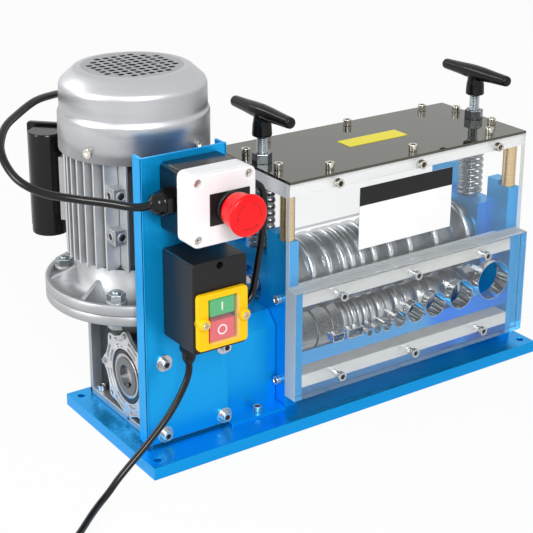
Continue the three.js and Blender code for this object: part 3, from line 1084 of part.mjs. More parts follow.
addPart('coupling_cover', join(
  pushed(coverShape, driveCoverRight - driveCoverLeft, 'x', [driveCoverLeft, HEAD_Y, 0]), driveCoverScrews,
), blueMetal);

// Stop box: black body, white lid with sunk screws, collar on its legend plate, and the mushroom head
const stopAt = (y, x = STOP_X) => [x, y, STOP_Z];
const stopAxis = STOP_X + STOP_AXIS_OFFSET;
const stopBodySize = STOP_SIZE - 2 * STOP_BODY_INSET;
const stopSide = stopBodySize / 2;
const stopGlandY = BRACKET_FRONT - STOP_BODY_DEPTH / 2;
addPart('estop_box', join(
  pushed(roundedRectangle(stopBodySize, stopBodySize, STOP_CORNER - STOP_BODY_INSET),
    STOP_BODY_DEPTH, 'y', stopAt(BRACKET_FRONT)),
  gland('x', -1, stopAt(stopGlandY, STOP_X - stopSide), MOTOR_LEAD_DIAMETER),
  gland('x', 1, stopAt(stopGlandY, STOP_X + stopSide), LINK_LEAD_DIAMETER),
), blackPlastic);
const stemBore = boreFor(STEM_DIAMETER, STUD_GAP, ROUND_SIDES);
const stopWells = [-1, 1].flatMap((x) => [-1, 1].map((z) => rod(STOP_SCREW_WELL,
  STOP_SCREW_WELL_DEPTH + OVERRUN, 'y', [STOP_X + x * STOP_SCREW_SPACING / 2,
    STOP_LID_FRONT + STOP_SCREW_WELL_DEPTH, STOP_Z + z * STOP_SCREW_SPACING / 2], SCREW_SIDES)));
addPart('estop_lid', cut(
  pushed(roundedRectangle(STOP_SIZE, STOP_SIZE, STOP_CORNER), STOP_LID_DEPTH, 'y', stopAt(STOP_LID_BACK)),
  stopWells,
  rod(stemBore, STEM_DEPTH + STOP_TRAVEL + OVERRUN, 'y',
    stopAt(STOP_LID_FRONT + STEM_DEPTH + STOP_TRAVEL, stopAxis), ROUND_SIDES)), whitePlastic);
const collarFront = STOP_LID_FRONT - LEGEND_THICK - COLLAR_THICK;
addPart('estop_collar', cut(join(
  pushed(roundedRectangle(LEGEND_WIDTH, LEGEND_HEIGHT, LEGEND_CORNER), LEGEND_THICK, 'y',
    stopAt(STOP_LID_FRONT, stopAxis)),
  rod(COLLAR_DIAMETER, COLLAR_THICK + LEGEND_THICK, 'y', stopAt(STOP_LID_FRONT, stopAxis), ROUND_SIDES),
), rod(stemBore, COLLAR_THICK + LEGEND_THICK + 2 * OVERRUN, 'y', stopAt(STOP_LID_FRONT + OVERRUN, stopAxis),
  ROUND_SIDES)), blackPlastic);
const headBack = collarFront - STOP_TRAVEL - STUD_GAP;
addPart('estop_stem', rod(STEM_DIAMETER, STOP_LID_FRONT + STEM_DEPTH - headBack, 'y',
  stopAt(STOP_LID_FRONT + STEM_DEPTH, stopAxis), ROUND_SIDES), blackPlastic);
const crownFloor = HEAD_SKIRT + HEAD_RIM;
addPart('estop_head', turned([
  [0, 0], [HEAD_SKIRT_DIAMETER / 2, 0], [HEAD_SKIRT_DIAMETER / 2, HEAD_SKIRT],
  [HEAD_DIAMETER / 2, HEAD_SKIRT + HEAD_BEVEL], [HEAD_DIAMETER / 2, crownFloor],
  [HEAD_DIAMETER * CROWN_WIDTH_SHARE, crownFloor + HEAD_DOME * CROWN_RISE_SHARE], [0, crownFloor + HEAD_DOME],
], 'y', stopAt(headBack - SEAT_GAP, stopAxis)), signalRed);

// Switch box with its frame, buttons and clear membrane
const switchAt = (y, z, x = SWITCH_X) => [x, y, z];
const frameX = SWITCH_X - FRAME_SHIFT;
const frameMiddle = FRAME_FLOOR + FRAME_HEIGHT / 2;
const windowTop = frameMiddle + WINDOW_HEIGHT / 2;
const greenMiddle = windowTop - BUTTON_GAP - GREEN_HEIGHT / 2;
const redMiddle = frameMiddle - WINDOW_HEIGHT / 2 + BUTTON_GAP + RED_HEIGHT / 2;
const buttonFace = FRAME_FRONT + BUTTON_SINK;
const pocketBack = buttonFace + BUTTON_LENGTH + BUTTON_TRAVEL + BUTTON_POCKET_SLACK;
const windowBox = box([frameX - WINDOW_WIDTH / 2, FRAME_FRONT - OVERRUN, frameMiddle - WINDOW_HEIGHT / 2],
  [frameX + WINDOW_WIDTH / 2, pocketBack, windowTop]);
const linkGlandAt = [SWITCH_X + SWITCH_WIDTH / 2, LINK_GLAND_Y, LINK_GLAND_Z];
addPart('switch_box', cut(
  join(pushed(roundedRectangle(SWITCH_WIDTH, SWITCH_HEIGHT, SWITCH_CORNER), SWITCH_DEPTH, 'y',
    switchAt(BRACKET_FRONT, SWITCH_FLOOR_Z + SWITCH_HEIGHT / 2)),
  gland('z', -1, [MAINS_GLAND_X, MAINS_GLAND_Y, SWITCH_FLOOR_Z], MAINS_DIAMETER),
  gland('x', 1, linkGlandAt, LINK_LEAD_DIAMETER, GLAND_SHORT)),
  windowBox,
  rod(SWITCH_HOLE, 2 * OVERRUN, 'y', switchAt(SWITCH_FRONT + OVERRUN, SWITCH_TOP - SWITCH_HOLE_DROP)),
), blackPlastic);
const framePlate = pushed(roundedRectangle(FRAME_WIDTH, FRAME_HEIGHT, FRAME_CORNER), FRAME_THICK, 'y',
  switchAt(SWITCH_FRONT, frameMiddle, frameX));
const frameScrews = [-1, 1].map((side) => rod(FRAME_SCREW, FRAME_SCREW_HEIGHT, 'y',
  [frameX + side * (WINDOW_WIDTH + FRAME_WIDTH) / 4, FRAME_FRONT, frameMiddle], SCREW_SIDES));
addPart('switch_frame', join(cut(framePlate, windowBox), frameScrews), yellowPlastic);
const membraneHalf = [WINDOW_WIDTH / 2 + MEMBRANE_LIP, WINDOW_HEIGHT / 2 + MEMBRANE_LIP];
addPart('switch_cover', box(
  [frameX - membraneHalf[0], FRAME_FRONT - MEMBRANE_THICK, frameMiddle - membraneHalf[1]],
  [frameX + membraneHalf[0], FRAME_FRONT, frameMiddle + membraneHalf[1]],
), clearPlastic);
const button = (middle, height) => box([frameX - BUTTON_WIDTH / 2, buttonFace, middle - height / 2],
  [frameX + BUTTON_WIDTH / 2, buttonFace + BUTTON_LENGTH, middle + height / 2]);
addPart('start_button', button(greenMiddle, GREEN_HEIGHT), greenPlastic);
addPart('stop_button', button(redMiddle, RED_HEIGHT), redPlastic);

// Cables: each is a smooth curve through chosen points, resampled at even steps. It leaves its gland
// straight for one diameter and enters the next one the same way.
function cordRun(diameter, start, leaving, points, end, entering) {
  const out = new THREE.Vector3(...start).addScaledVector(leaving, SEAT_GAP);
  const back = new THREE.Vector3(...end).addScaledVector(entering, -SEAT_GAP);
  const curve = new THREE.CatmullRomCurve3([
    out, out.clone().addScaledVector(leaving, diameter), ...points.map((at) => new THREE.Vector3(...at)),
    back.clone().addScaledVector(entering, -diameter), back,
  ], false, 'centripetal');
  curve.arcLengthDivisions = CORD_DIVISIONS;
  const straight = diameter / curve.getLength();
  const steps = Math.round(curve.getLength() / (diameter * CORD_STEP));
  const bends = Array.from({ length: steps + 1 }, (_, k) =>
    curve.getPointAt(straight + ((1 - 2 * straight) * k) / steps));
  return [out, ...bends, back];
}
const tube = (path, diameter) => sweptTube(path, diameter, CORD_SIDES, Math.PI / CORD_SIDES);
const [xWay, zWay] = [new THREE.Vector3(1, 0, 0), new THREE.Vector3(0, 0, 1)];

// Motor lead: from the capacitor box round the left side into the stop box
capacitorGroup.updateMatrixWorld(true);
const capacitorTip = capacitorGroup.localToWorld(new THREE.Vector3(
  capacitorNear + CAPACITOR_WIDTH / 2, capacitorLidBack - GLAND_SHORT, MOTOR_LEAD_Z));
const capacitorWay = new THREE.Vector3(0, -1, 0).applyAxisAngle(zWay, CAPACITOR_ANGLE);
const motorLead = cordRun(MOTOR_LEAD_DIAMETER, capacitorTip.toArray(), capacitorWay, [
  [-219.5, 161, 301], [-220.5, 157, 317], [-225.5, 147.5, 331], [-233, 134, 343], [-245, 122, 349],
  [-257.3, 112, 351.7], [-285.7, 92, 354.3], [-313.9, 72, 349.9], [-335.2, 54, 345.4],
  [-346.3, 40, 340.2], [-355.2, 24, 332.1], [-357.4, 8, 321.8], [-353.9, -12, 310.8],
  [-340.2, -34, 302.5], [-316.3, -52, 297.2], [-288, -67, 291.5], [-270, -76, 287],
], stopAt(stopGlandY, STOP_X - stopSide - GLAND_LENGTH), xWay);
addPart('motor_lead', tube(motorLead, MOTOR_LEAD_DIAMETER), blackRubber);

// Link lead: out of the stop box and down into the switch box
const linkLead = cordRun(LINK_LEAD_DIAMETER, stopAt(stopGlandY, STOP_X + stopSide + GLAND_LENGTH), xWay, [
  [-124, -79, 280], [-121, -80, 268], [-121, -81, 252], [-124, -82, 232], [-129, -83, 208],
  [-134, -84, 186], [-138, -85, 172], [-143, -86, 164.5],
], [linkGlandAt[0] + GLAND_SHORT, LINK_GLAND_Y, LINK_GLAND_Z], xWay.clone().negate());
addPart('link_lead', tube(linkLead, LINK_LEAD_DIAMETER), blackRubber);

// Mains lead: down from the switch box, over the edge of the base and out along the floor
const floorZ = MAINS_DIAMETER / 2 + CORD_LIFT;
const coilHeading = new THREE.Vector3(...COIL_HEADING_SHARES, 0).normalize();
const coilEntry = new THREE.Vector3(COIL_ENTRY_X, COIL_ENTRY_Y, floorZ);
const mainsLead = cordRun(MAINS_DIAMETER, [MAINS_GLAND_X, MAINS_GLAND_Y, SWITCH_FLOOR_Z - GLAND_LENGTH],
  zWay.clone().negate(), [
    [-220, -89.5, 98], [-229, -90.5, 83], [-243, -92, 66], [-259, -93, 51], [-276, -94, 37],
    [-292, -95, 25], [-306, -97, 15], [-318, -101, 7.5], [-331, -108, 4], [-347, -121, floorZ],
    [-368, -140, floorZ], [-391, -160, floorZ], [-410, -176.6, floorZ],
  ], coilEntry.toArray(), coilHeading);
addPart('mains_lead', tube(mainsLead, MAINS_DIAMETER), blackRubber);

// The mains lead's stored length: loops that spiral in, climb a layer, and spiral out again to the plug
const coilOuter = COIL_DIAMETER / 2 + COIL_PITCH * (COIL_LOOPS - 1) / 2;
const coilSide = new THREE.Vector3(-coilHeading.y, coilHeading.x, 0);
const coilCentre = coilEntry.clone().addScaledVector(coilHeading, MAINS_DIAMETER)
  .addScaledVector(coilSide, coilOuter);
const coilSteps = 2 * COIL_LOOPS * COIL_LOOP_STEPS;
const coilPath = [coilEntry];
for (let k = 0; k <= coilSteps; k += 1) {
  const turn = k / COIL_LOOP_STEPS;
  const inward = Math.min(turn, 2 * COIL_LOOPS - turn);
  const layer = THREE.MathUtils.clamp((turn - COIL_LOOPS + COIL_CLIMB_START_SHARE) / COIL_CLIMB_SHARE, 0, 1);
  const radius = coilOuter - COIL_PITCH * inward;
  const angle = 2 * Math.PI * turn;
  coilPath.push(coilCentre.clone()
    .addScaledVector(coilSide, -radius * Math.cos(angle))
    .addScaledVector(coilHeading, radius * Math.sin(angle))
    .add(new THREE.Vector3(0, 0, COIL_PITCH * layer)));
}
const coilEnd = coilPath[coilPath.length - 1].clone().addScaledVector(coilHeading, COIL_TAIL);
coilPath.push(coilEnd);
console.log('mains coil, least gap to itself in mm:',
  selfGap(coilPath, MAINS_DIAMETER, COIL_LOOP_STEPS / 2).toFixed(2));
addPart('mains_coil', sweptTube(coilPath, MAINS_DIAMETER, COIL_SIDES), blackRubber);

// Mains plug beside the coil
const plugGroup = new THREE.Group();
plugGroup.position.copy(coilEnd).addScaledVector(coilHeading, SEAT_GAP);
plugGroup.rotation.z = Math.atan2(coilHeading.y, coilHeading.x);
machine.add(plugGroup);
const plugLift = PLUG_DIAMETER / 2 - coilEnd.z;
const throatEnd = PLUG_NECK_LENGTH + PLUG_LENGTH * PLUG_THROAT_REACH_SHARE;
const plugFace = PLUG_NECK_LENGTH + PLUG_LENGTH;
const plugBody = turned([
  [0, PLUG_NECK_LENGTH], [PLUG_NECK_DIAMETER * PLUG_END_SHARE, PLUG_NECK_LENGTH],
  [PLUG_DIAMETER * PLUG_THROAT_SHARE, throatEnd],
  [PLUG_DIAMETER / 2, PLUG_NECK_LENGTH + PLUG_LENGTH * PLUG_TAPER_SHARE], [PLUG_DIAMETER / 2, plugFace],
  [0, plugFace],
], 'x', [0, 0, plugLift], PIN_SIDES);
const plugNeck = rod(PLUG_NECK_DIAMETER, throatEnd, 'x', [0, 0, 0]);
const pins = [-1, 1].map((side) => rod(PIN_DIAMETER, PIN_LENGTH, 'x',
  [plugFace, side * PIN_SPACING / 2, plugLift], SCREW_SIDES));
addPart('mains_plug', join(plugBody, plugNeck, pins), blackRubber, plugGroup);

export default machine;
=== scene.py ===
"""Looks of the bench wire stripping machine, built round its CAD frame.

Sizes and places are in millimetres, as in the part's source, and become metres where a mesh is made.
"""

import math

import bmesh
import bpy
import numpy as np
from mathutils import Matrix, Vector


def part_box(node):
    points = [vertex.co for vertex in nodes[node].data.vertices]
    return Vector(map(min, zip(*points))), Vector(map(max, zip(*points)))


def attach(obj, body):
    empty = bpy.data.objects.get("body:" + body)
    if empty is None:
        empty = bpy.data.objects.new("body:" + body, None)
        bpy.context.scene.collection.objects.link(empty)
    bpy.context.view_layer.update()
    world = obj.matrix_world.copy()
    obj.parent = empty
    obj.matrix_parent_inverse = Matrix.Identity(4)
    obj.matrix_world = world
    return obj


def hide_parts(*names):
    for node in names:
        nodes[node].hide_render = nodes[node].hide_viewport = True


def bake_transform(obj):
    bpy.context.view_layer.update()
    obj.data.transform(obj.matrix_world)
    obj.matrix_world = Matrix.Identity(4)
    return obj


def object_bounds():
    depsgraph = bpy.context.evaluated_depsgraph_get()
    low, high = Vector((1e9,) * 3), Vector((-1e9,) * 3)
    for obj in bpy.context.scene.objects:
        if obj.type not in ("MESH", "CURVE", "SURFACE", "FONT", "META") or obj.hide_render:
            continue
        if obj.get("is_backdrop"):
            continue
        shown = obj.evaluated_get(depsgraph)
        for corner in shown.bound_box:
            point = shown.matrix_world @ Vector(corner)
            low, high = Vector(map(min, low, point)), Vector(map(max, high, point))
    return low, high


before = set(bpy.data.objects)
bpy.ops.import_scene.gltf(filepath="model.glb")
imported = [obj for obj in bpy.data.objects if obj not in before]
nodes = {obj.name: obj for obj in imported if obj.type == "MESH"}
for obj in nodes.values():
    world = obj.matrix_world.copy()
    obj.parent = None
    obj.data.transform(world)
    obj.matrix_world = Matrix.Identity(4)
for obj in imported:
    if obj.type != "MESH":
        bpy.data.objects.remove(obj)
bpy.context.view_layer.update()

MM = 0.001
TURN = 2 * math.pi
IDENTITY = Matrix.Identity(4)
BOTH = (-1, 1)
LEFT, RIGHT, FRONT, UP, DOWN = (-1, 0, 0), (1, 0, 0), (0, -1, 0), (0, 0, 1), (0, 0, -1)

# Camera, from the fit to the photograph
CAMERA_AT = (-853.6, -1148.6, 727.6)
CAMERA_YAW = math.radians(34.548)
CAMERA_PITCH = math.radians(19.056)
CAMERA_ROLL = math.radians(0.244)
CAMERA_LENS = 92.463
CAMERA_SHIFT_Y = -0.15
CAMERA_NEAR = 0.05
CAMERA_FAR = 50

# Shading
SHARP_ANGLE = math.radians(32)
FLAT_ANGLE = math.radians(14)
THREAD_ANGLE = math.radians(60)
BEVEL_ANGLE = math.radians(50)
SMOOTH_ALL = TURN
EDGE = 0.4
ROUND = 96
FINE_ROUND = 144
COVER_ROUND = 160
SMALL_ROUND = 40

# Stripping head, as in the part's source
HEAD_LEFT, HEAD_RIGHT = -82.5, 252
HEAD_X, HEAD_Y = (HEAD_LEFT + HEAD_RIGHT) / 2, 2
HEAD_LENGTH = HEAD_RIGHT - HEAD_LEFT
INNER_LEFT, INNER_RIGHT = -66, 235.5
WALL_MIDDLES = (-74.25, 243.75)
WALL_FRONT, WALL_BACK = -65, 69
GUARD_FRONT, GUARD_BACK = -71, 75
GUARD_FLOOR = 154
GUARD_RAIL_LEFT, GUARD_RAIL_RIGHT = -52.5, 222
POST_ROWS = (("front", -55.5), ("rear", 59.5))
POST_RADIUS, POST_FLOOR, POST_TOP = 8, 205, 255
PLATE_FLOOR, PLATE_TOP = 271, 274
PANEL_FRONT = -83.7
PANEL_FLOOR, PANEL_TOP = 28.5, 153.7
RAIL_ROWS = (43.8, 138.7)
RAIL_HEIGHT, RAIL_DEPTH = 15, 20
RAIL_EDGE = 0.5
PANE_GAP = 0.15
SAWN_GAP = 0.05
RIM = 0.5
GUARD_RAIL = 16
GUARD_ROW = POST_TOP + GUARD_RAIL / 2
SPRING_X = (-67.5, 237)
BLOCK_TOP = 178
LOWER_AXIS, UPPER_AXIS = 68, 136.5
PANEL_SCREWS_X = (-22, 82, 186)
GUARD_SCREWS_X = (-21, 93, 207)
SIDE_SCREW_Y = -55
LANES = (-24.5, -1.6, 18.5, 30.05, 43.6, 61.5, 84.85, 113.65, 152.6, 201.55)
BORES = (7.5, 10, 13.5, 18.5, 24, 29, 34.5, 47)
BORE_FLOOR = 80

# Each open channel's middle, floor, height, and widths below and above
CHANNELS = ((-24.5, 85, 9, 13.5, 17.4), (-1.6, 84.3, 10.7, 21, 23.6))
CHANNEL_CORNER, CHANNEL_INNER_CORNER = 1.2, 0.8

# Drive end, as in the part's source
BOX_X, WORM_Y = -194, 52
BOX_LEFT, BOX_HALF = -240, 34
BOX_FRONT, BOX_BACK = -58, 86
BOX_TOP = 139
BASE_TOP = 14
FLANGE_TOP = 162
FIN_FLOOR, FIN_TOP = 192, 304
MOTOR_TOP = 316
BRACKET_LEFT, BRACKET_RIGHT = -250, -153
BRACKET_FRONT, BRACKET_BACK = -61, -58
BRACKET_FLOOR, BRACKET_TOP = 17, 327
RIM_RIGHT = BRACKET_RIGHT - 0.3
COVER_LEFT, COVER_RIGHT = BRACKET_RIGHT + 0.2, -83
STOP_X, STOP_Z, STOP_AXIS = -195, 285.5, -189
STOP_GLAND_Y = -78
SWITCH_X = -198
SWITCH_FLOOR, SWITCH_TOP = 137, 232
SWITCH_FRONT = -118
FRAME_X, FRAME_MIDDLE = -198.25, 171.5


def metres(point):
    return Vector(point) * MM


# Camera

forward = Vector((math.sin(CAMERA_YAW) * math.cos(CAMERA_PITCH),
                  math.cos(CAMERA_YAW) * math.cos(CAMERA_PITCH), -math.sin(CAMERA_PITCH)))
level = Vector((math.cos(CAMERA_YAW), -math.sin(CAMERA_YAW), 0))
above = level.cross(forward)
right = level * math.cos(CAMERA_ROLL) + above * math.sin(CAMERA_ROLL)
up = above * math.cos(CAMERA_ROLL) - level * math.sin(CAMERA_ROLL)
camera_data = bpy.data.cameras.new("camera")
camera_data.lens = CAMERA_LENS
camera_data.shift_y = CAMERA_SHIFT_Y
camera_data.clip_start = CAMERA_NEAR
camera_data.clip_end = CAMERA_FAR
camera = bpy.data.objects.new("camera", camera_data)
bpy.context.scene.collection.objects.link(camera)
facing = Matrix((right, up, -forward)).transposed().to_4x4()
camera.matrix_world = Matrix.Translation(metres(CAMERA_AT)) @ facing
bpy.context.scene.camera = camera

# Materials

BRIGHTEST = 255
RAMP_LOW_SHARE, RAMP_HIGH_SHARE = 0.3, 0.7
COLOUR_DETAIL, RELIEF_DETAIL = 5, 3
RELIEF_DEPTH = 0.0004


def linear(colour):
    """A colour as it is seen, 0 to 255, as the light values that the shader takes."""
    def one(value):
        share = value / BRIGHTEST
        return share / 12.92 if share <= 0.04045 else ((share + 0.055) / 1.055) ** 2.4
    return tuple(one(value) for value in colour) + (1,)


def make_look(name, slot, colour, roughness, metallic=0.0, grain=60, spread=0.1, rough_spread=0.1, bump=0.0,
              bump_grain=None, anisotropic=0.0, around=None, ior=1.5, transmission=0.0, alpha=1.0,
              tint=None):
    """A surface whose colour, roughness and fine relief vary with a noise of its own scale, per metre."""
    look = bpy.data.materials.new(name)
    look.use_nodes = True
    look["slot"] = slot
    tree = look.node_tree
    shader = tree.nodes["Principled BSDF"]
    shader.inputs["Metallic"].default_value = metallic
    shader.inputs["IOR"].default_value = ior
    shader.inputs["Transmission Weight"].default_value = transmission
    shader.inputs["Alpha"].default_value = alpha
    if tint:
        shader.inputs["Specular Tint"].default_value = tint
    place = tree.nodes.new("ShaderNodeTexCoord")

    def noise(scale, detail):
        mapping = tree.nodes.new("ShaderNodeMapping")
        mapping.inputs["Scale"].default_value = scale if isinstance(scale, tuple) else (scale, scale, scale)
        tree.links.new(place.outputs["Object"], mapping.inputs["Vector"])
        texture = tree.nodes.new("ShaderNodeTexNoise")
        texture.inputs["Scale"].default_value = 1
        texture.inputs["Detail"].default_value = detail
        tree.links.new(mapping.outputs["Vector"], texture.inputs["Vector"])
        return texture.outputs["Fac"]

    variation = noise(grain, COLOUR_DETAIL)
    ramp = tree.nodes.new("ShaderNodeValToRGB")
    base = linear(colour)
    ends = (RAMP_LOW_SHARE, RAMP_HIGH_SHARE)
    for element, place_share, change in zip(ramp.color_ramp.elements, ends, BOTH):
        element.position = place_share
        element.color = tuple(min(1, value * (1 + change * spread)) for value in base[:3]) + (1,)
    tree.links.new(variation, ramp.inputs["Fac"])
    tree.links.new(ramp.outputs["Color"], shader.inputs["Base Color"])
    gloss = tree.nodes.new("ShaderNodeMapRange")
    gloss.inputs["From Min"].default_value = RAMP_LOW_SHARE
    gloss.inputs["From Max"].default_value = RAMP_HIGH_SHARE
    gloss.inputs["To Min"].default_value = max(0.0, roughness - rough_spread * roughness)
    gloss.inputs["To Max"].default_value = min(1.0, roughness + rough_spread * roughness)
    tree.links.new(variation, gloss.inputs["Value"])
    tree.links.new(gloss.outputs["Result"], shader.inputs["Roughness"])
    if bump:
        relief = tree.nodes.new("ShaderNodeBump")
        relief.inputs["Strength"].default_value = bump
        relief.inputs["Distance"].default_value = RELIEF_DEPTH
        tree.links.new(noise(bump_grain or grain, RELIEF_DETAIL), relief.inputs["Height"])
        tree.links.new(relief.outputs["Normal"], shader.inputs["Normal"])
    if anisotropic:
        shader.inputs["Anisotropic"].default_value = anisotropic
        tangent = tree.nodes.new("ShaderNodeTangent")
        tangent.direction_type = "RADIAL"
        tangent.axis = around
        tree.links.new(tangent.outputs["Tangent"], shader.inputs["Tangent"])
    return look


# Each look: its name and slot, colour, roughness, metallic share, grain per metre, how far colour and
# roughness vary, and the relief with its own grain
BRUSHED_X = (25, 2600, 2600)
BRUSHED_Z = (2600, 2600, 25)
RINGS_X = (2200, 6, 6)
RINGS_Z = (6, 6, 2200)
RUBBED, SAWN = (25, 600, 25), (25, 2600, 25)
BLOTCHES, CAST, SCREW_GRAIN, MOULDED = 40, 1500, 350, 2600
GLASS_GRAIN, GLASS_SPREAD = 10, 0.005
BLACK_IOR, RED_IOR, RUBBER_IOR, CLEAR_IOR, MIRROR_IOR = 1.36, 1.38, 1.4, 1.49, 1.95
MIRROR_TINT = (1, 1, 0.88, 1)

blue = make_look("blue_anodised", "blue_metal", (0, 162, 236), 0.3, 0.75, BRUSHED_X, 0.05, 0.15, 0.05)
blue_upright = make_look("blue_anodised_upright", "blue_metal", (0, 168, 240), 0.34, 0.6, BRUSHED_Z, 0.05,
                         0.15, 0.05)
bar_metal = make_look("bar_aluminium", "bar_aluminium", (246, 246, 245), 0.5, 0.3, BRUSHED_X, 0.04, 0.15,
                      0.08)
brass = make_look("brass", "post_brass", (226, 194, 140), 0.24, 0.9, RINGS_Z, 0.05, 0.2, 0.05)


def cast_look(name, colour, roughness, metallic, spread, bump):
    return make_look(name, "cast_aluminium", colour, roughness, metallic, BLOTCHES, spread, 0.15, bump, CAST)


cast_metal = cast_look("cast_aluminium", (176, 178, 180), 0.42, 0.75, 0.06, 0.25)
cast_dark = cast_look("cast_aluminium_shaded", (54, 59, 60), 0.5, 0.4, 0.1, 0.4)
# Painted light: a lighter copy of the cast aluminium, for the light on the motor fins and the left star
# cover.
lit_fin_metal = cast_look("fin_aluminium_painted_light", (206, 208, 210), 0.38, 0.7, 0.06, 0.25)
# Painted shade: a darker copy of the cast aluminium on the motor's core, for the shade between the fins.
shaded_core_metal = cast_look("core_aluminium_painted_shade", (70, 72, 74), 0.5, 0.5, 0.1, 0.3)
cover_metal = make_look("spun_aluminium", "brushed_metal", (198, 199, 202), 0.36, 0.92, RINGS_Z, 0.04, 0.2,
                        0.05, anisotropic=0.5, around="Z")
cover_flat = make_look("pressed_aluminium", "brushed_metal", (172, 174, 176), 0.5, 0.6, 60, 0.05, 0.2, 0.05,
                       CAST)


def turned_look(name, slot, colour, roughness, metallic, spread=0.1, bump=0.1, anisotropic=0.0):
    return make_look(name, slot, colour, roughness, metallic, RINGS_X, spread, 0.2, bump,
                     anisotropic=anisotropic, around="X")


# Painted shade: the recess rings beside the blades are a darker copy of the roller steel.
recess_shade_metal = turned_look("recess_steel_painted_shade", "blade_steel", (84, 86, 90), 0.42, 0.8)
hub_metal = turned_look("hub_steel", "bearing_steel", (120, 122, 124), 0.3, 0.85)
bearing_metal = turned_look("bearing_steel", "bearing_steel", (186, 187, 190), 0.22, 0.95, 0.08, 0.06)
blade_metal = turned_look("blade_steel", "blade_steel", (210, 212, 215), 0.24, 0.95, 0.08, anisotropic=0.3)
ring_metal = turned_look("ring_steel", "blade_steel", (186, 187, 190), 0.3, 0.92, 0.08, anisotropic=0.3)
knurl_metal = turned_look("knurl_steel", "blade_steel", (158, 160, 163), 0.3, 0.9)
spacer_metal = turned_look("spacer_steel", "blade_steel", (126, 128, 132), 0.32, 0.9, anisotropic=0.3)

spring_metal = make_look("spring_steel", "spring_steel", (150, 153, 156), 0.3, 0.9, 300, 0.1, 0.2, 0.05)
nickel = make_look("nickel", "screw_steel", (216, 211, 200), 0.11, 1.0, 400, 0.06, 0.2)
bright_steel = make_look("bright_steel", "screw_steel", (206, 208, 211), 0.26, 0.9, SCREW_GRAIN, 0.08, 0.2,
                         0.05)
nut_steel = make_look("nut_steel", "screw_steel", (112, 118, 122), 0.2, 1.0, SCREW_GRAIN, 0.1, 0.2)
zinc = make_look("zinc", "screw_steel", (172, 180, 184), 0.3, 0.85, SCREW_GRAIN, 0.1, 0.2, 0.05)

gloss_black = make_look("gloss_black", "gloss_black", (30, 29, 18), 0.02, 0.0, 30, 0.1, 0.3, ior=MIRROR_IOR,
                        tint=MIRROR_TINT)
black_plastic = make_look("black_plastic", "black_plastic", (24, 25, 27), 0.34, 0.0, 80, 0.12, 0.12, 0.12,
                          2400, ior=BLACK_IOR)
black_smooth = make_look("black_smooth", "black_plastic", (12, 12, 13), 0.16, 0.0, 80, 0.12, 0.2, 0.02, 900,
                         ior=BLACK_IOR)
rubber = make_look("cable_rubber", "cable_rubber", (12, 12, 13), 0.2, 0.0, 90, 0.1, 0.15, 0.05, 1200,
                   ior=RUBBER_IOR)
white_plastic = make_look("white_plastic", "white_plastic", (240, 241, 242), 0.4, 0.0, 50, 0.02, 0.1, 0.06,
                          MOULDED)
red_head = make_look("signal_red", "signal_red", (240, 10, 18), 0.3, 0.0, 50, 0.03, 0.1, 0.03, MOULDED,
                     ior=RED_IOR)
# Painted shade: the arrows on the stop head are a darker red, standing in for the shade in the head's arrow
# grooves.
groove_shade_red = make_look("signal_red_groove_shade", "signal_red", (176, 10, 16), 0.45, 0.0, 50, 0.03)
yellow = make_look("yellow_plastic", "yellow_plastic", (250, 198, 0), 0.55, 0.0, 60, 0.03, 0.1, 0.03, MOULDED,
                   ior=BLACK_IOR)
green = make_look("green_plastic", "green_plastic", (0, 172, 92), 0.3, 0.0, 60, 0.03)
red_key = make_look("red_plastic", "red_plastic", (226, 62, 78), 0.3, 0.0, 60, 0.03)
yellow_print = make_look("yellow_print", "yellow_plastic", (255, 240, 0), 0.4, 0.0, 60, 0.02)
white_print = make_look("white_print", "white_plastic", (250, 250, 250), 0.35, 0.0, 50, 0.01)

clear = make_look("clear_plastic", "clear_plastic", (252, 254, 254), 0.01, 0.0, GLASS_GRAIN, GLASS_SPREAD,
                  0.0, ior=CLEAR_IOR, transmission=1.0)
clear_sheet = make_look("clear_sheet", "clear_plastic", (240, 250, 253), 0.03, 0.0, GLASS_GRAIN, GLASS_SPREAD,
                        0.0, alpha=0.06)
hood_clear = make_look("hood_clear", "clear_plastic", (236, 240, 240), 0.08, 0.0, GLASS_GRAIN, GLASS_SPREAD,
                       0.0, alpha=0.07)
rim_clear = make_look("rim_clear", "clear_plastic", (232, 238, 240), 0.3, 0.0, RUBBED, 0.04, 0.1, 0.05,
                      alpha=0.5)
sawn_clear = make_look("sawn_clear", "clear_plastic", (222, 228, 230), 0.5, 0.0, SAWN, 0.05, 0.1, 0.1,
                       alpha=0.8)
# Painted reflection: a near-white, half-clear metal for the sleeves in the panel's bores, standing in for the
# light that the clear plastic reflects there.
painted_bore_reflection = make_look("painted_bore_reflection", "clear_plastic", (236, 242, 244), 0.07, 0.85, 300, 0.03, 0.2, alpha=0.8)

# Making meshes


def sharpen(mesh, angle):
    """Smooth faces, with the edges kept sharp where the surface turns by more than an angle."""
    edit = bmesh.new()
    edit.from_mesh(mesh)
    for face in edit.faces:
        face.smooth = True
    for edge in edit.edges:
        edge.smooth = edge.is_manifold and edge.calc_face_angle(0) < angle
    edit.to_mesh(mesh)
    edit.free()
    return mesh


def bevel(piece, width=EDGE):
    """Rounds the piece's edges, so that they catch the light."""
    for face in piece.data.polygons:
        face.use_smooth = True
    for edge in piece.data.edges:
        edge.use_edge_sharp = False
    modifier = piece.modifiers.new("edges", "BEVEL")
    modifier.width = width * MM
    modifier.segments = 2
    modifier.limit_method = "ANGLE"
    modifier.angle_limit = BEVEL_ANGLE
    modifier.harden_normals = True


def mesh_of(vertices, faces):
    mesh = bpy.data.meshes.new("shape")
    mesh.from_pydata([tuple(v) for v in vertices], [], [tuple(f) for f in faces])
    return mesh


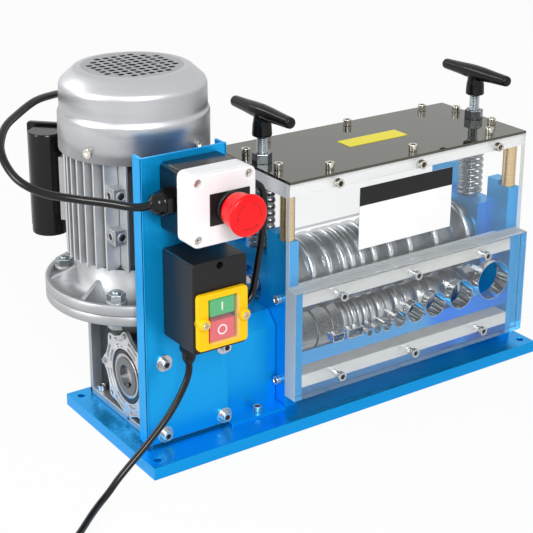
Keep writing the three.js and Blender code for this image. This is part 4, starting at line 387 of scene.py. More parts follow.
def turn_out(mesh):
    """Faces turned outwards, doubled points joined."""
    edit = bmesh.new()
    edit.from_mesh(mesh)
    bmesh.ops.remove_doubles(edit, verts=edit.verts, dist=0.001)
    bmesh.ops.recalc_face_normals(edit, faces=edit.faces)
    edit.to_mesh(mesh)
    edit.free()
    return mesh


AXES = {
    "x": Matrix(((0, 0, 1), (1, 0, 0), (0, 1, 0))).to_4x4(),
    "y": Matrix(((1, 0, 0), (0, 0, -1), (0, 1, 0))).to_4x4(),
    "z": IDENTITY,
}


def placed(axis, at=(0, 0, 0)):
    """Puts a shape made along +Z at a place, along an axis or a direction."""
    way = AXES[axis] if axis in AXES else Vector(axis).to_track_quat("Z", "Y").to_matrix().to_4x4()
    return Matrix.Translation(Vector(at)) @ way


def turned(angle):
    return Matrix.Rotation(angle, 4, "Z")


def add_piece(name, shapes, look, at=IDENTITY, body="frame", edge=0.0, replaces=None):
    """One piece that rides on a body: a mesh, or a list of meshes, each alone or with its own matrix."""
    whole = bmesh.new()
    for shape in shapes if isinstance(shapes, list) else [shapes]:
        mesh, matrix = shape if isinstance(shape, tuple) else (shape, IDENTITY)
        start = len(whole.verts)
        whole.from_mesh(mesh)
        whole.verts.ensure_lookup_table()
        bmesh.ops.transform(whole, matrix=Matrix.Scale(MM, 4) @ at @ matrix, verts=whole.verts[start:])
    made = bpy.data.meshes.new(name)
    whole.to_mesh(made)
    whole.free()
    piece = bpy.data.objects.new(name, made)
    bpy.context.scene.collection.objects.link(piece)
    made.materials.append(look)
    if edge:
        bevel(piece, edge)
    if body:
        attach(piece, body)
    if replaces:
        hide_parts(replaces)
    return piece


def dress(look, *names, edge=EDGE):
    """Gives CAD nodes whose shape is right a material and fine edges."""
    for name in names:
        piece = nodes[name]
        piece.data.materials.clear()
        piece.data.materials.append(look)
        bevel(piece, edge)


def polar(radius, angle):
    return radius * math.cos(angle), radius * math.sin(angle)


def lathe(profile, sides=ROUND):
    """A closed turned shape about Z from its (radius, height) outline. It starts and ends on the axis,
    or its last point is its first."""
    ring_shape = profile[0] == profile[-1]
    points = profile[:-1] if ring_shape else profile
    vertices, rows = [], []
    for radius, along in points:
        if radius == 0:
            rows.append([len(vertices)])
            vertices.append((0, 0, along))
        else:
            rows.append(list(range(len(vertices), len(vertices) + sides)))
            vertices += [(*polar(radius, TURN * k / sides), along) for k in range(sides)]
    faces = []
    for low, high in zip(rows, rows[1:] + rows[:1]) if ring_shape else zip(rows, rows[1:]):
        for k in range(sides):
            j = (k + 1) % sides
            if len(low) == 1 and len(high) == 1:
                continue
            if len(low) == 1:
                faces.append((low[0], high[k], high[j]))
            elif len(high) == 1:
                faces.append((low[k], low[j], high[0]))
            else:
                faces.append((low[k], low[j], high[j], high[k]))
    return sharpen(turn_out(mesh_of(vertices, faces)), SMOOTH_ALL)


def rod(radius, low, high, bore=0, sides=ROUND):
    """A turned rod, or a turned ring if it has a bore."""
    profile = [(bore, low), (radius, low), (radius, high), (bore, high)]
    return lathe(profile + profile[:1] if bore else profile, sides)


def circle(radius, sides=ROUND, at=(0, 0), start=0.0):
    spokes = [polar(radius, start + TURN * k / sides) for k in range(sides)]
    return [(at[0] + x, at[1] + y) for x, y in spokes]


def rounded(points, radius, steps=6):
    """An outline with each corner rounded."""
    made = []
    count = len(points)
    for k in range(count):
        before, corner, after = (Vector(points[i % count]) for i in (k - 1, k, k + 1))
        to_before, to_after = (before - corner).normalized(), (after - corner).normalized()
        half = to_before.angle(to_after) / 2
        longest = min((before - corner).length, (after - corner).length) * 0.499
        reach = min(radius / math.tan(half), longest)
        start, end = corner + to_before * reach, corner + to_after * reach
        for step in range(steps + 1):
            t = step / steps
            made.append(tuple(start * (1 - t) ** 2 + corner * 2 * t * (1 - t) + end * t ** 2))
    return made


def rectangle(width, height, at=(0, 0), radius=0.0):
    x, y = width / 2, height / 2
    corners = [(at[0] - x, at[1] - y), (at[0] + x, at[1] - y), (at[0] + x, at[1] + y), (at[0] - x, at[1] + y)]
    return rounded(corners, radius) if radius else corners


def plate(outline, thick, holes=(), edge=0.0, start=0.0):
    """A flat shape with holes, pushed along Z from its start, with small bevels round its rims."""
    curve = bpy.data.curves.new("plate", "CURVE")
    curve.dimensions = "2D"
    curve.fill_mode = "BOTH"
    curve.extrude = thick / 2 - edge
    curve.bevel_depth = edge
    curve.bevel_resolution = 1
    curve.offset = -edge
    for points in [outline, *holes]:
        spline = curve.splines.new("POLY")
        spline.points.add(len(points) - 1)
        spline.points.foreach_set("co", [value for x, y in points for value in (x, y, 0, 1)])
        spline.use_cyclic_u = True
    holder = bpy.data.objects.new("plate", curve)
    bpy.context.scene.collection.objects.link(holder)
    evaluated = holder.evaluated_get(bpy.context.evaluated_depsgraph_get())
    mesh = bpy.data.meshes.new_from_object(evaluated)
    bpy.data.objects.remove(holder)
    mesh.transform(Matrix.Translation((0, 0, start + thick / 2)))
    return sharpen(turn_out(mesh), FLAT_ANGLE)


def slab(width, height, thick, corner=0.0, edge=0.0, holes=(), start=0.0, at=(0, 0)):
    """A rectangular plate."""
    return plate(rectangle(width, height, at, corner), thick, holes, edge, start)


def block(low, high):
    """A box between two corners."""
    corners = [(x, y, z) for z in (low[2], high[2]) for y in (low[1], high[1]) for x in (low[0], high[0])]
    faces = [(0, 2, 3, 1), (4, 5, 7, 6), (0, 1, 5, 4), (2, 6, 7, 3), (0, 4, 6, 2), (1, 3, 7, 5)]
    return mesh_of(corners, faces)


def skin(vertices, sides, angle):
    """A closed skin over rows of points."""
    rows = len(vertices) // sides - 1
    faces = []
    for row in range(rows):
        for k in range(sides):
            a, b = row * sides + k, row * sides + (k + 1) % sides
            faces.append((a, b, b + sides, a + sides))
    faces.append(tuple(range(sides))[::-1])
    faces.append(tuple(range(rows * sides, len(vertices))))
    return sharpen(turn_out(mesh_of(vertices, faces)), angle)


def tube(path, diameter, sides):
    """A closed tube along a path."""
    points = [Vector(p) for p in path]
    last = len(points) - 1
    tangents = [(points[min(k + 1, last)] - points[max(k - 1, 0)]).normalized() for k in range(last + 1)]
    normal = tangents[0].orthogonal()
    vertices = []
    for point, tangent in zip(points, tangents):
        normal = (normal - tangent * normal.dot(tangent)).normalized()
        side = tangent.cross(normal)
        for j in range(sides):
            turn = TURN * j / sides
            vertices.append(point + (normal * math.cos(turn) + side * math.sin(turn)) * diameter / 2)
    return skin(vertices, sides, SHARP_ANGLE)


def threaded(diameter, length, pitch, sides=28, rows_a_pitch=4, depth_share=0.55):
    """A rod with a real screw thread along Z."""
    vertices = []
    rows = int(length / pitch * rows_a_pitch)
    depth = pitch * depth_share
    for row in range(rows + 1):
        z = length * row / rows
        near_end = min(1, 2 * min(z, length - z) / pitch)
        for k in range(sides):
            phase = (z / pitch - k / sides) % 1
            crest = 1 - abs(2 * phase - 1)
            radius = diameter / 2 - depth * (1 - crest * near_end)
            vertices.append((*polar(radius, TURN * k / sides), z))
    return skin(vertices, sides, THREAD_ANGLE)


# Cords

SPAN_STEPS = 40
SEAT_GAP = 0.3
CORD_POINT_STEP = 4
MOTOR_LEAD, LINK_LEAD, MAINS = 8, 7, 7
STOP_GLANDS = (-230, -160)
CAPACITOR_TURN = math.radians(135)
DIAGONAL = math.sqrt(0.5)
CAPACITOR_WAY = (DIAGONAL, DIAGONAL, 0)
CAPACITOR_EXIT, CAPACITOR_FACE, CAPACITOR_GLAND_Z = 99, -31.3, 290
GLAND_LONG, GLAND_SHORT = 22, 12
LINK_END = (-167, -86, 162.5)
MAINS_EXIT = (-217, -89)


def smooth_path(points):
    """A centripetal curve through the points, as in the part's source, sampled at even steps."""
    p = [np.array(point, float) for point in points]
    p = [2 * p[0] - p[1], *p, 2 * p[-1] - p[-2]]
    dense = []
    for k in range(1, len(p) - 2):
        d0, d1, d2 = (max(np.linalg.norm(p[k + i] - p[k + i - 1]) ** 0.5, 1e-4) for i in range(3))
        m1 = ((p[k] - p[k - 1]) / d0 - (p[k + 1] - p[k - 1]) / (d0 + d1) + (p[k + 1] - p[k]) / d1) * d1
        m2 = ((p[k + 1] - p[k]) / d1 - (p[k + 2] - p[k]) / (d1 + d2) + (p[k + 2] - p[k + 1]) / d2) * d1
        for t in np.linspace(0, 1, SPAN_STEPS, endpoint=False):
            dense.append((2 * t ** 3 - 3 * t ** 2 + 1) * p[k] + (t ** 3 - 2 * t ** 2 + t) * m1
                         + (3 * t ** 2 - 2 * t ** 3) * p[k + 1] + (t ** 3 - t ** 2) * m2)
    dense.append(p[-2])
    dense = np.array(dense)
    along = np.concatenate([[0], np.cumsum(np.linalg.norm(np.diff(dense, axis=0), axis=1))])
    even = np.linspace(0, along[-1], max(2, round(along[-1] / CORD_POINT_STEP)) + 1)
    return [tuple(np.interp(even, along, dense[:, i])[k] for i in range(3)) for k in range(len(even))]


def cord_piece(name, path, diameter, replaced):
    curve = bpy.data.curves.new(name, "CURVE")
    curve.dimensions = "3D"
    curve.bevel_depth = diameter / 2 * MM
    curve.bevel_resolution = 5
    curve.use_fill_caps = True
    spline = curve.splines.new("POLY")
    spline.points.add(len(path) - 1)
    spline.points.foreach_set("co", [value for x, y, z in path for value in (x * MM, y * MM, z * MM, 1)])
    spline.use_smooth = True
    piece = bpy.data.objects.new(name, curve)
    bpy.context.scene.collection.objects.link(piece)
    curve.materials.append(rubber)
    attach(piece, "frame")
    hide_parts(*replaced)


def run(diameter, start, leaving, points, end, entering):
    """A cord's points: straight out of its exit, through the route, and straight in at its end."""
    start, leaving, end, entering = (Vector(v) for v in (start, leaving, end, entering))
    out, back = start + leaving * SEAT_GAP, end - entering * SEAT_GAP
    return [out, out + leaving * diameter, *points, back - entering * diameter, back]


def motor_local(u, v, z):
    """A place in the capacitor's own frame: u points away from the motor."""
    return Vector((BOX_X - DIAGONAL * u - DIAGONAL * v, WORM_Y + DIAGONAL * u - DIAGONAL * v, z))


motor_route = run(MOTOR_LEAD, motor_local(CAPACITOR_EXIT, CAPACITOR_FACE - GLAND_SHORT, CAPACITOR_GLAND_Z),
                  CAPACITOR_WAY, [
    (-219.5, 161, 301), (-220.5, 157, 317), (-225.5, 147.5, 331), (-233, 134, 343), (-245, 122, 349),
    (-257.3, 112, 351.7), (-285.7, 92, 354.3), (-313.9, 72, 349.9), (-335.2, 54, 345.4), (-346.3, 40, 340.2),
    (-355.2, 24, 332.1), (-357.4, 8, 321.8), (-353.9, -12, 310.8), (-340.2, -34, 302.5), (-316.3, -52, 297.2),
    (-288, -67, 291.5), (-270, -76, 287),
], (STOP_GLANDS[0] - GLAND_LONG, STOP_GLAND_Y, STOP_Z), RIGHT)
link_route = run(LINK_LEAD, (STOP_GLANDS[1] + GLAND_LONG, STOP_GLAND_Y, STOP_Z), (1, 0, 0), [
    (-124, -79, 280), (-121, -80, 268), (-121, -81, 252), (-124, -82, 232), (-129, -83, 208),
    (-134, -84, 186), (-138, -85, 172), (-143, -86, 164.5),
], Vector(LINK_END) + Vector((GLAND_SHORT, 0, 0)), (-1, 0, 0))

FLOOR_Z = 3.8
COIL_HEADING = Vector((-0.755, -0.656, 0)).normalized()
COIL_ENTRY = Vector((-430, -194, FLOOR_Z))
COIL_OUTER, COIL_PITCH, COIL_LOOPS, COIL_STEPS, COIL_TAIL = 59.8, 7.6, 2, 48, 56
mains_route = run(MAINS, (*MAINS_EXIT, SWITCH_FLOOR - GLAND_LONG), DOWN, [
    (-220, -89.5, 98), (-229, -90.5, 83), (-243, -92, 66), (-259, -93, 51), (-276, -94, 37), (-292, -95, 25),
    (-306, -97, 15), (-318, -101, 7.5), (-331, -108, FLOOR_Z + 0.2), (-347, -121, FLOOR_Z),
    (-368, -140, FLOOR_Z), (-391, -160, FLOOR_Z), (-410, -176.6, FLOOR_Z),
], COIL_ENTRY, COIL_HEADING)
coil_side = Vector((-COIL_HEADING.y, COIL_HEADING.x, 0))
coil_centre = COIL_ENTRY + COIL_HEADING * MAINS + coil_side * COIL_OUTER
coil = [tuple(COIL_ENTRY)]
for k in range(2 * COIL_LOOPS * COIL_STEPS + 1):
    turn = k / COIL_STEPS
    radius = COIL_OUTER - COIL_PITCH * min(turn, 2 * COIL_LOOPS - turn)
    layer = min(1, max(0, (turn - COIL_LOOPS + 0.25) * 2))
    coil.append(tuple(coil_centre - coil_side * radius * math.cos(TURN * turn)
                      + COIL_HEADING * radius * math.sin(TURN * turn) + Vector((0, 0, COIL_PITCH * layer))))
coil.append(tuple(Vector(coil[-1]) + COIL_HEADING * COIL_TAIL))

dress(rubber, "mains_plug", edge=0.6)
cord_piece("motor_cable", smooth_path(motor_route), MOTOR_LEAD, ["motor_lead"])
cord_piece("link_cable", smooth_path(link_route), LINK_LEAD, ["link_lead"])
cord_piece("mains_cable", [*smooth_path(mains_route), *coil[1:]], MAINS,
           ["mains_lead", "mains_coil"])

# Fasteners

SOCKET_SIDES = 6
SCREW_HEAD, SCREW_HEIGHT, TOP_SCREW_HEIGHT, SCREW_EDGE = 10, 6, 7.6, 0.45
SOCKET, SOCKET_DEPTH, SOCKET_SHADE_THICK = 5.4, 2.4, 0.3
SOCKET_GAP, SOCKET_LIFT = 0.1, 0.05
WASHER, WASHER_BORE, WASHER_THICK, WASHER_EDGE = 18, 6.4, 1.6, 0.3
NUT_EDGE_SHARE = 0.6


def cap_screw(head=SCREW_HEAD, height=SCREW_HEIGHT, socket=SOCKET, socket_depth=SOCKET_DEPTH):
    """A socket cap screw standing on its seat."""
    hollow = circle(socket / math.sqrt(3), SOCKET_SIDES)
    return [plate(circle(head / 2, SMALL_ROUND), height, [hollow], SCREW_EDGE),
            plate(circle(head / 2 - 1, SMALL_ROUND), height - socket_depth)]


def nut(across, height, bore=0.0, chamfer=1.0):
    """A hexagon with its corners turned off, with a bore if it has one."""
    holes = [circle(bore / 2, SMALL_ROUND)] if bore else []
    return plate(circle(across / math.sqrt(3), 6, start=math.pi / 6), height, holes, chamfer * NUT_EDGE_SHARE)


def screws(name, places, with_washers=False, tall=SCREW_HEIGHT, look=bright_steel):
    """Cap screws at (point, direction) places, with thin black plates in their sockets as painted shade."""
    bore = circle(WASHER_BORE / 2, SMALL_ROUND)
    washer = plate(circle(WASHER / 2, SMALL_ROUND), WASHER_THICK, [bore], WASHER_EDGE)
    # A thin black hexagon on each socket's floor: painted shade in the socket.
    socket = plate(circle(SOCKET / math.sqrt(3) - SOCKET_GAP, SOCKET_SIDES), SOCKET_SHADE_THICK,
                   start=tall - SOCKET_DEPTH + SOCKET_LIFT)
    screw = cap_screw(height=tall)
    pairs, socket_shades = [], []
    for at, way in places:
        seat = placed(way, Vector(at) + Vector(way) * (WASHER_THICK if with_washers else 0))
        pairs += [(mesh, seat) for mesh in screw]
        if with_washers:
            pairs.append((washer, placed(way, at)))
        socket_shades.append((socket, seat))
    add_piece(f"{name}_sockets", socket_shades, black_plastic)
    add_piece(name, pairs, look)


# Base, walls, bearings and bars of the head

BASE_SIZES = (528, 194, BASE_TOP, 0, 0.7)
BASE_HOLES_X, BASE_HOLES_Y, BASE_HOLE, WALL_EDGE, BALL_EDGE = 252.5, 83.5, 4, 0.6, 0.3
# Half of a ball bearing: its inner ring, recessed shield and outer ring
BALL_SIZES = ((10.1, 6), (13, 6), (13, 5.2), (17.4, 5.2), (17.4, 6), (21, 6))

lower_at, upper_at = (placed("x", (0, HEAD_Y, axis)) for axis in (LOWER_AXIS, UPPER_AXIS))
base_holes = [circle(BASE_HOLE, SMALL_ROUND, (x * BASE_HOLES_X, y * BASE_HOLES_Y))
              for x in BOTH for y in BOTH]
add_piece("base", slab(*BASE_SIZES, base_holes), blue, replaces="base_plate")
dress(blue_upright, "end_wall_left", "end_wall_right", "bearing_block_left", "bearing_block_right",
      edge=WALL_EDGE)
dress(bar_metal, "crossbar_left", "crossbar_right", edge=WALL_EDGE)
ball = [(r, -z) for r, z in BALL_SIZES] + list(reversed(BALL_SIZES))
ball_bearing = lathe(ball + ball[:1])
post = rod(POST_RADIUS, POST_FLOOR, POST_TOP)
for side, wall_x, block_x in zip(("left", "right"), WALL_MIDDLES, SPRING_X):
    for name, x, z, body in ((f"lower_bearing_{side}", wall_x, LOWER_AXIS, "frame"),
                             (f"upper_bearing_{side}", block_x, UPPER_AXIS, "carriage")):
        add_piece(f"{name}_rings", ball_bearing, bearing_metal, placed("x", (x, HEAD_Y, z)), body,
                  BALL_EDGE, name)
    for row, y in POST_ROWS:
        add_piece(f"post_{row}_{side}", post, brass, placed("z", (wall_x, y, 0)), edge=WALL_EDGE,
                  replaces=f"brass_post_{row}_{side}")

bar_top = PLATE_FLOOR - PANE_GAP
for end, wall, seat, way in (("front", WALL_FRONT, GUARD_FRONT, -1), ("rear", WALL_BACK, GUARD_BACK, 1)):
    bar_front = min(wall, wall - way * GUARD_RAIL)
    add_piece(f"guard_rail_{end}_bar", block((GUARD_RAIL_LEFT, bar_front + PANE_GAP, POST_TOP),
                                             (GUARD_RAIL_RIGHT, bar_front + GUARD_RAIL - PANE_GAP, bar_top)),
              bar_metal, edge=RAIL_EDGE, replaces=f"guard_rail_{end}")
    near, far = sorted((seat, wall + way * PANE_GAP))
    add_piece(f"{end}_guard_pane", block((HEAD_LEFT + RIM, near, GUARD_FLOOR + RIM),
                                         (HEAD_RIGHT - RIM, far, bar_top)),
              clear_sheet, replaces=f"{end}_guard")
    rims = [block((x_low, near, GUARD_FLOOR), (x_high, far, z_high)) for x_low, x_high, z_high in (
        (HEAD_LEFT, HEAD_LEFT + RIM - SAWN_GAP, bar_top), (HEAD_RIGHT - RIM + SAWN_GAP, HEAD_RIGHT, bar_top),
        (HEAD_LEFT + RIM, HEAD_RIGHT - RIM, GUARD_FLOOR + RIM - SAWN_GAP))]
    add_piece(f"{end}_guard_rims", rims, rim_clear)
    screws(f"guard_rail_{end}_screws", [((x, seat, GUARD_ROW), (0, way, 0)) for x in GUARD_SCREWS_X],
           look=nickel)
for name, z in zip(("guide_rail_lower", "guide_rail_upper"), RAIL_ROWS):
    add_piece(f"{name}_bar", block((INNER_LEFT, WALL_FRONT + PANE_GAP, z - RAIL_HEIGHT / 2),
                                   (INNER_RIGHT, WALL_FRONT + RAIL_DEPTH, z + RAIL_HEIGHT / 2)),
              bar_metal, edge=RAIL_EDGE, replaces=name)
    screws(f"{name}_screws", [((x, PANEL_FRONT, z), FRONT) for x in PANEL_SCREWS_X]
           + [((HEAD_LEFT, SIDE_SCREW_Y, z), LEFT), ((HEAD_RIGHT, SIDE_SCREW_Y, z), RIGHT)])

# Top plate, its screws and lock nuts

TOP_SCREW_ROWS = (-57, 61)
CROSSBAR_SCREW_REACH = 31
STUD_HOLE, TOP_EDGE = 6.3, 0.35
LOCK_NUT = (19, 11, 12.5)

top_holes = [circle(STUD_HOLE, SMALL_ROUND, (x, HEAD_Y)) for x in SPRING_X]
add_piece("top_cover", slab(HEAD_LENGTH, GUARD_BACK - GUARD_FRONT, PLATE_TOP - PLATE_FLOOR, 0, TOP_EDGE,
                            top_holes, PLATE_FLOOR, (HEAD_X, HEAD_Y)), gloss_black, replaces="top_plate")
for name, places in (("top_screws", [(x, y) for x in GUARD_SCREWS_X for y in TOP_SCREW_ROWS]),
                     ("crossbar_screws", [(x, HEAD_Y + side * CROSSBAR_SCREW_REACH) for x in SPRING_X
                                          for side in BOTH])):
    screws(name, [((x, y, PLATE_TOP), UP) for x, y in places], tall=TOP_SCREW_HEIGHT, look=nickel)
lock_nut = nut(*LOCK_NUT)
add_piece("lock_nuts", [(lock_nut, placed("z", (x, HEAD_Y, PLATE_TOP))) for x in SPRING_X], nut_steel)

# Clear guide panel, with half-clear, near-mirror sleeves in its bores and in the two open channels: painted
# reflection on the walls there

BORE_SIDES = 72
PANEL_SCREW_HOLE = 3.3
PANEL_END, PANEL_EDGE = 0.4, 0.4
SLEEVE, SLEEVE_GAP = 0.35, 0.05


def channel(x, z, tall, low, high, inset=0.0):
    """The outline of an open channel, wider at its top, drawn in by an inset."""
    return [(x - low / 2 + inset, z + inset), (x + low / 2 - inset, z + inset),
            (x + high / 2 - inset, z + tall - inset), (x - high / 2 + inset, z + tall - inset)]


panel_at = placed("y", (0, WALL_FRONT - PANE_GAP, 0))
panel_depth = WALL_FRONT - PANEL_FRONT
sleeve_depth = panel_depth - 2 * PANE_GAP
panel_high = PANEL_TOP - PANEL_END
bores = [(size / 2, (x, BORE_FLOOR + size / 2)) for x, size in zip(LANES[2:], BORES)]
panel_holes = [circle(radius, BORE_SIDES, at) for radius, at in bores]
panel_holes += [rounded(channel(*sizes), CHANNEL_CORNER) for sizes in CHANNELS]
panel_holes += [circle(PANEL_SCREW_HOLE, SMALL_ROUND, (x, z)) for x in PANEL_SCREWS_X for z in RAIL_ROWS]
add_piece("clear_panel", slab(HEAD_LENGTH - 2 * PANEL_END, panel_high - PANEL_FLOOR, panel_depth - PANE_GAP,
                              0, PANEL_EDGE, panel_holes, at=(HEAD_X, (PANEL_FLOOR + panel_high) / 2)),
          clear, panel_at, replaces="guide_panel")
add_piece("panel_ends", [block((x, PANEL_FRONT + PANE_GAP, PANEL_FLOOR + PANE_GAP),
                               (x + PANEL_END - SAWN_GAP, WALL_FRONT - 2 * PANE_GAP, PANEL_TOP - PANE_GAP))
                         for x in (HEAD_LEFT, HEAD_RIGHT - PANEL_END + SAWN_GAP)], sawn_clear)
add_piece("panel_top", block((HEAD_LEFT + PANEL_END, PANEL_FRONT + PANE_GAP, panel_high + SAWN_GAP),
                             (HEAD_RIGHT - PANEL_END, WALL_FRONT - 2 * PANE_GAP, PANEL_TOP)), rim_clear)
sleeves = [(circle(radius - SLEEVE_GAP, BORE_SIDES, at), circle(radius - SLEEVE, BORE_SIDES, at))
           for radius, at in bores]
sleeves += [(rounded(channel(*sizes, SLEEVE_GAP), CHANNEL_CORNER),
             rounded(channel(*sizes, 2 * SLEEVE), CHANNEL_INNER_CORNER)) for sizes in CHANNELS]
add_piece("bore_walls", [plate(outer, sleeve_depth, [inner], 0, PANE_GAP) for outer, inner in sleeves],
          painted_bore_reflection, panel_at)

# Springs, pressure screws and handles

SPRING_STEPS, SPRING_SIDES, SPRING_TURNS = 40, 12, 10
SPRING_WIRE, SPRING_RADIUS, SPRING_END_PITCH = 4.5, 12.75, 4.8
STUD, STUD_PITCH, STUD_FLOOR = 12, 1.75, 166.3
HUB_FLOOR = 303.5
BAR_Z = 330
END_RADIUS, END_BORE, END_THICK, END_REACH = 3.1, 2.2, 0.6, 53.5
SKIN_VOXEL, SKIN_SMOOTHS = 0.9, 8
# Half of the handle's bar, and its hub, as (radius, distance) from the middle and from the floor
BAR_SIZES = ((8.2, 14), (7.2, 30), (6.3, 51), (5.9, 53), (4.6, 54), (0, 54))
BAR_RADIUS = 8.6
HUB_SIZES = ((0, 0), (10.3, 0), (11, 1), (10.4, 12), (9.4, 18), (8.6, 24), (8, 27), (0, 27))


def spring_path(x):
    inset = SEAT_GAP + SPRING_WIRE / 2
    low, high = BLOCK_TOP + inset, POST_TOP - inset
    middle = high - low - 2 * SPRING_END_PITCH
    made = []
    for k in range(SPRING_TURNS * SPRING_STEPS + 1):
        turn = k / SPRING_STEPS
        inner = min(1, max(0, (turn - 1) / (SPRING_TURNS - 2)))
        ends = min(turn, 1) + max(turn - SPRING_TURNS + 1, 0)
        across, deep = polar(SPRING_RADIUS, TURN * turn)
        made.append((x + across, HEAD_Y + deep, low + SPRING_END_PITCH * ends + middle * inner))
    return made


def remeshed(piece):
    """Melts the solids of a piece into one smooth skin."""
    voxels = piece.modifiers.new("skin", "REMESH")
    voxels.mode = "VOXEL"
    voxels.voxel_size = SKIN_VOXEL * MM
    voxels.use_smooth_shade = True
    soft = piece.modifiers.new("soft", "SMOOTH")
    soft.factor = 0.5
    soft.iterations = SKIN_SMOOTHS


stud = threaded(STUD, HUB_FLOOR - STUD_FLOOR, STUD_PITCH)
bar = lathe([(r, -z) for r, z in reversed(BAR_SIZES)] + [(BAR_RADIUS, 0), *BAR_SIZES], SMALL_ROUND)
hub = lathe(HUB_SIZES, SMALL_ROUND)
bar_end = plate(circle(END_RADIUS, 6), END_THICK, [circle(END_BORE, 6)])
for side, x in zip(("left", "right"), SPRING_X):
    body = f"{side}_handle"
    spring = add_piece(f"spring_{side}", tube(spring_path(x), SPRING_WIRE, SPRING_SIDES), spring_metal,
                       body=None, replaces=f"pressure_spring_{side}")
    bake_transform(spring)
    add_piece(f"stud_{side}", stud, zinc, placed("z", (x, HEAD_Y, STUD_FLOOR)), body,
              replaces=f"pressure_screw_{side}")
    solids = [(bar, placed("y", (x, HEAD_Y, BAR_Z))), (hub, placed("z", (x, HEAD_Y, HUB_FLOOR)))]
    remeshed(add_piece(f"handle_{side}", solids, black_smooth, body=body, replaces=f"t_handle_{side}"))
    ends = [(bar_end, placed((0, way, 0), (x, HEAD_Y + way * END_REACH, BAR_Z))) for way in BOTH]
    add_piece(f"handle_ends_{side}", ends, black_plastic, body=body)

# Rollers

STACK_LEFT, DISC_LEFT, STACK_RIGHT = -52, 214.5, 221.5
SPACER_RADIUS, RECESS_RADIUS, BLADE_RADIUS, DISC_RADIUS, SHAFT_RADIUS = 38.5, 36.6, 42.3, 29, 10
RING_EDGE = 0.6
RIDGE_ROOT = 1
# Along the shaft from the lane's middle, and the share of the ridge's height there
BLADE_HALF = ((4.4, 0), (3.8, 0.5), (2.9, 0.84), (1.6, 0.97))
BLADE_SHAPE = [(-along, share) for along, share in BLADE_HALF] + [(0, 1), *reversed(BLADE_HALF)]
RECESS_WIDTHS = (0, 0, 0, 0, 0, 5, 10, 13, 15, 16)
FEED_RADIUS = 25
KNURLED, KNURLS, KNURL_DEPTH, KNURL_RIM, CORE_DROP, CORE_GAP = 3, 64, 1.3, 1.6, 1.5, 0.3
GROOVE_END = 1
# Along the shaft from the lane's middle, and the groove's depth there
GROOVE_HALF = ((2.6, 0), (2, 0.5), (1.5, 1.4), (1.4, 4.2))
DRIVE_RADIUS, DRIVE_START, DRIVE_STEP, DRIVE_END = 12.45, -217, -148, -147
DRIVE_TIP, DRIVE_TIP_LENGTH, DRIVE_TIP_EDGE = -235.5, 19, 0.4
KEY_HALF, KEY_DEPTH, KEY_ANGLE = 4, 9.2, 0.33
SHAFT_CHAMFER = 0.6
HUB_EDGE = 0.5


def ring(radius, low, high):
    """A ring on the upper shaft with rounded rims."""
    rim = radius - RING_EDGE
    return lathe([(SHAFT_RADIUS, low), (rim, low), (radius, low + RING_EDGE), (radius, high - RING_EDGE),
                  (rim, high), (SHAFT_RADIUS, high), (SHAFT_RADIUS, low)], FINE_ROUND)


def ridge(lane):
    """A crowned ridge standing out of the spacers."""
    root = SPACER_RADIUS - RIDGE_ROOT
    points = [(root + share * (BLADE_RADIUS - root), lane + along) for along, share in BLADE_SHAPE]
    return lathe([(SHAFT_RADIUS, points[0][1]), *points, (SHAFT_RADIUS, points[-1][1]),
                  (SHAFT_RADIUS, points[0][1])], FINE_ROUND)


shaft_tip = SHAFT_RADIUS - SHAFT_CHAMFER
shaft_end = [(SHAFT_RADIUS, HEAD_RIGHT - SHAFT_CHAMFER), (shaft_tip, HEAD_RIGHT), (0, HEAD_RIGHT)]
spacers, recesses = [], []
left = STACK_LEFT
for lane, recess in zip(LANES, RECESS_WIDTHS):
    inner = lane - BLADE_HALF[0][0] - recess if recess else lane
    spacers.append(ring(SPACER_RADIUS, left, inner))
    if recess:
        recesses.append(ring(RECESS_RADIUS, inner, lane))
    left = lane
spacers.append(ring(SPACER_RADIUS, left, DISC_LEFT))
blades = [ring(DISC_RADIUS, DISC_LEFT, STACK_RIGHT), *(ridge(lane) for lane in LANES)]
add_piece("upper_roller", blades, blade_metal, upper_at, "blade_roller", replaces="cutting_blades")
add_piece("upper_spacers", spacers, spacer_metal, upper_at, "blade_roller")
add_piece("upper_recesses", recesses, recess_shade_metal, upper_at, "blade_roller")
shaft_start = [(0, HEAD_LEFT), (shaft_tip, HEAD_LEFT), (SHAFT_RADIUS, HEAD_LEFT + SHAFT_CHAMFER)]
add_piece("upper_axle", lathe(shaft_start + shaft_end), bearing_metal, upper_at, "blade_roller",
          replaces="upper_shaft")

groove = [(-along, depth) for along, depth in GROOVE_HALF] + list(reversed(GROOVE_HALF))
teeth = [polar(FEED_RADIUS - j % 2 * KNURL_DEPTH, TURN * j / (2 * KNURLS)) for j in range(2 * KNURLS)]
feed_start = (3 * LANES[0] - LANES[1]) / 2
roller_ends = [feed_start] + [(a + b) / 2 for a, b in zip(LANES, LANES[1:])] + [DISC_LEFT]
feed_parts, knurled = [], []
for k, (lane, low, high) in enumerate(zip(LANES, roller_ends, roller_ends[1:])):
    if k < KNURLED:
        knurled.append(plate(teeth, high - low - 2 * KNURL_RIM, [], 0, low + KNURL_RIM))
        feed_parts.append(rod(FEED_RADIUS - CORE_DROP, low + CORE_GAP, high - CORE_GAP))
    else:
        cut = [(FEED_RADIUS - depth, lane + along) for along, depth in groove
               if low + GROOVE_END < lane + along < high - GROOVE_END]
        feed_parts.append(lathe([(0, low), (FEED_RADIUS, low), *cut, (FEED_RADIUS, high), (0, high)],
                                FINE_ROUND))
add_piece("feed_roller_stack", feed_parts, ring_metal, lower_at, "feed_roller", replaces="feed_rollers")
add_piece("feed_roller_knurls", knurled, knurl_metal, lower_at, "feed_roller")
dress(hub_metal, "output_hub", edge=HUB_EDGE)
keyed = [polar(DRIVE_RADIUS, a) for a in np.linspace(KEY_ANGLE - TURN / 4, 3 * TURN / 4 - KEY_ANGLE, ROUND)]
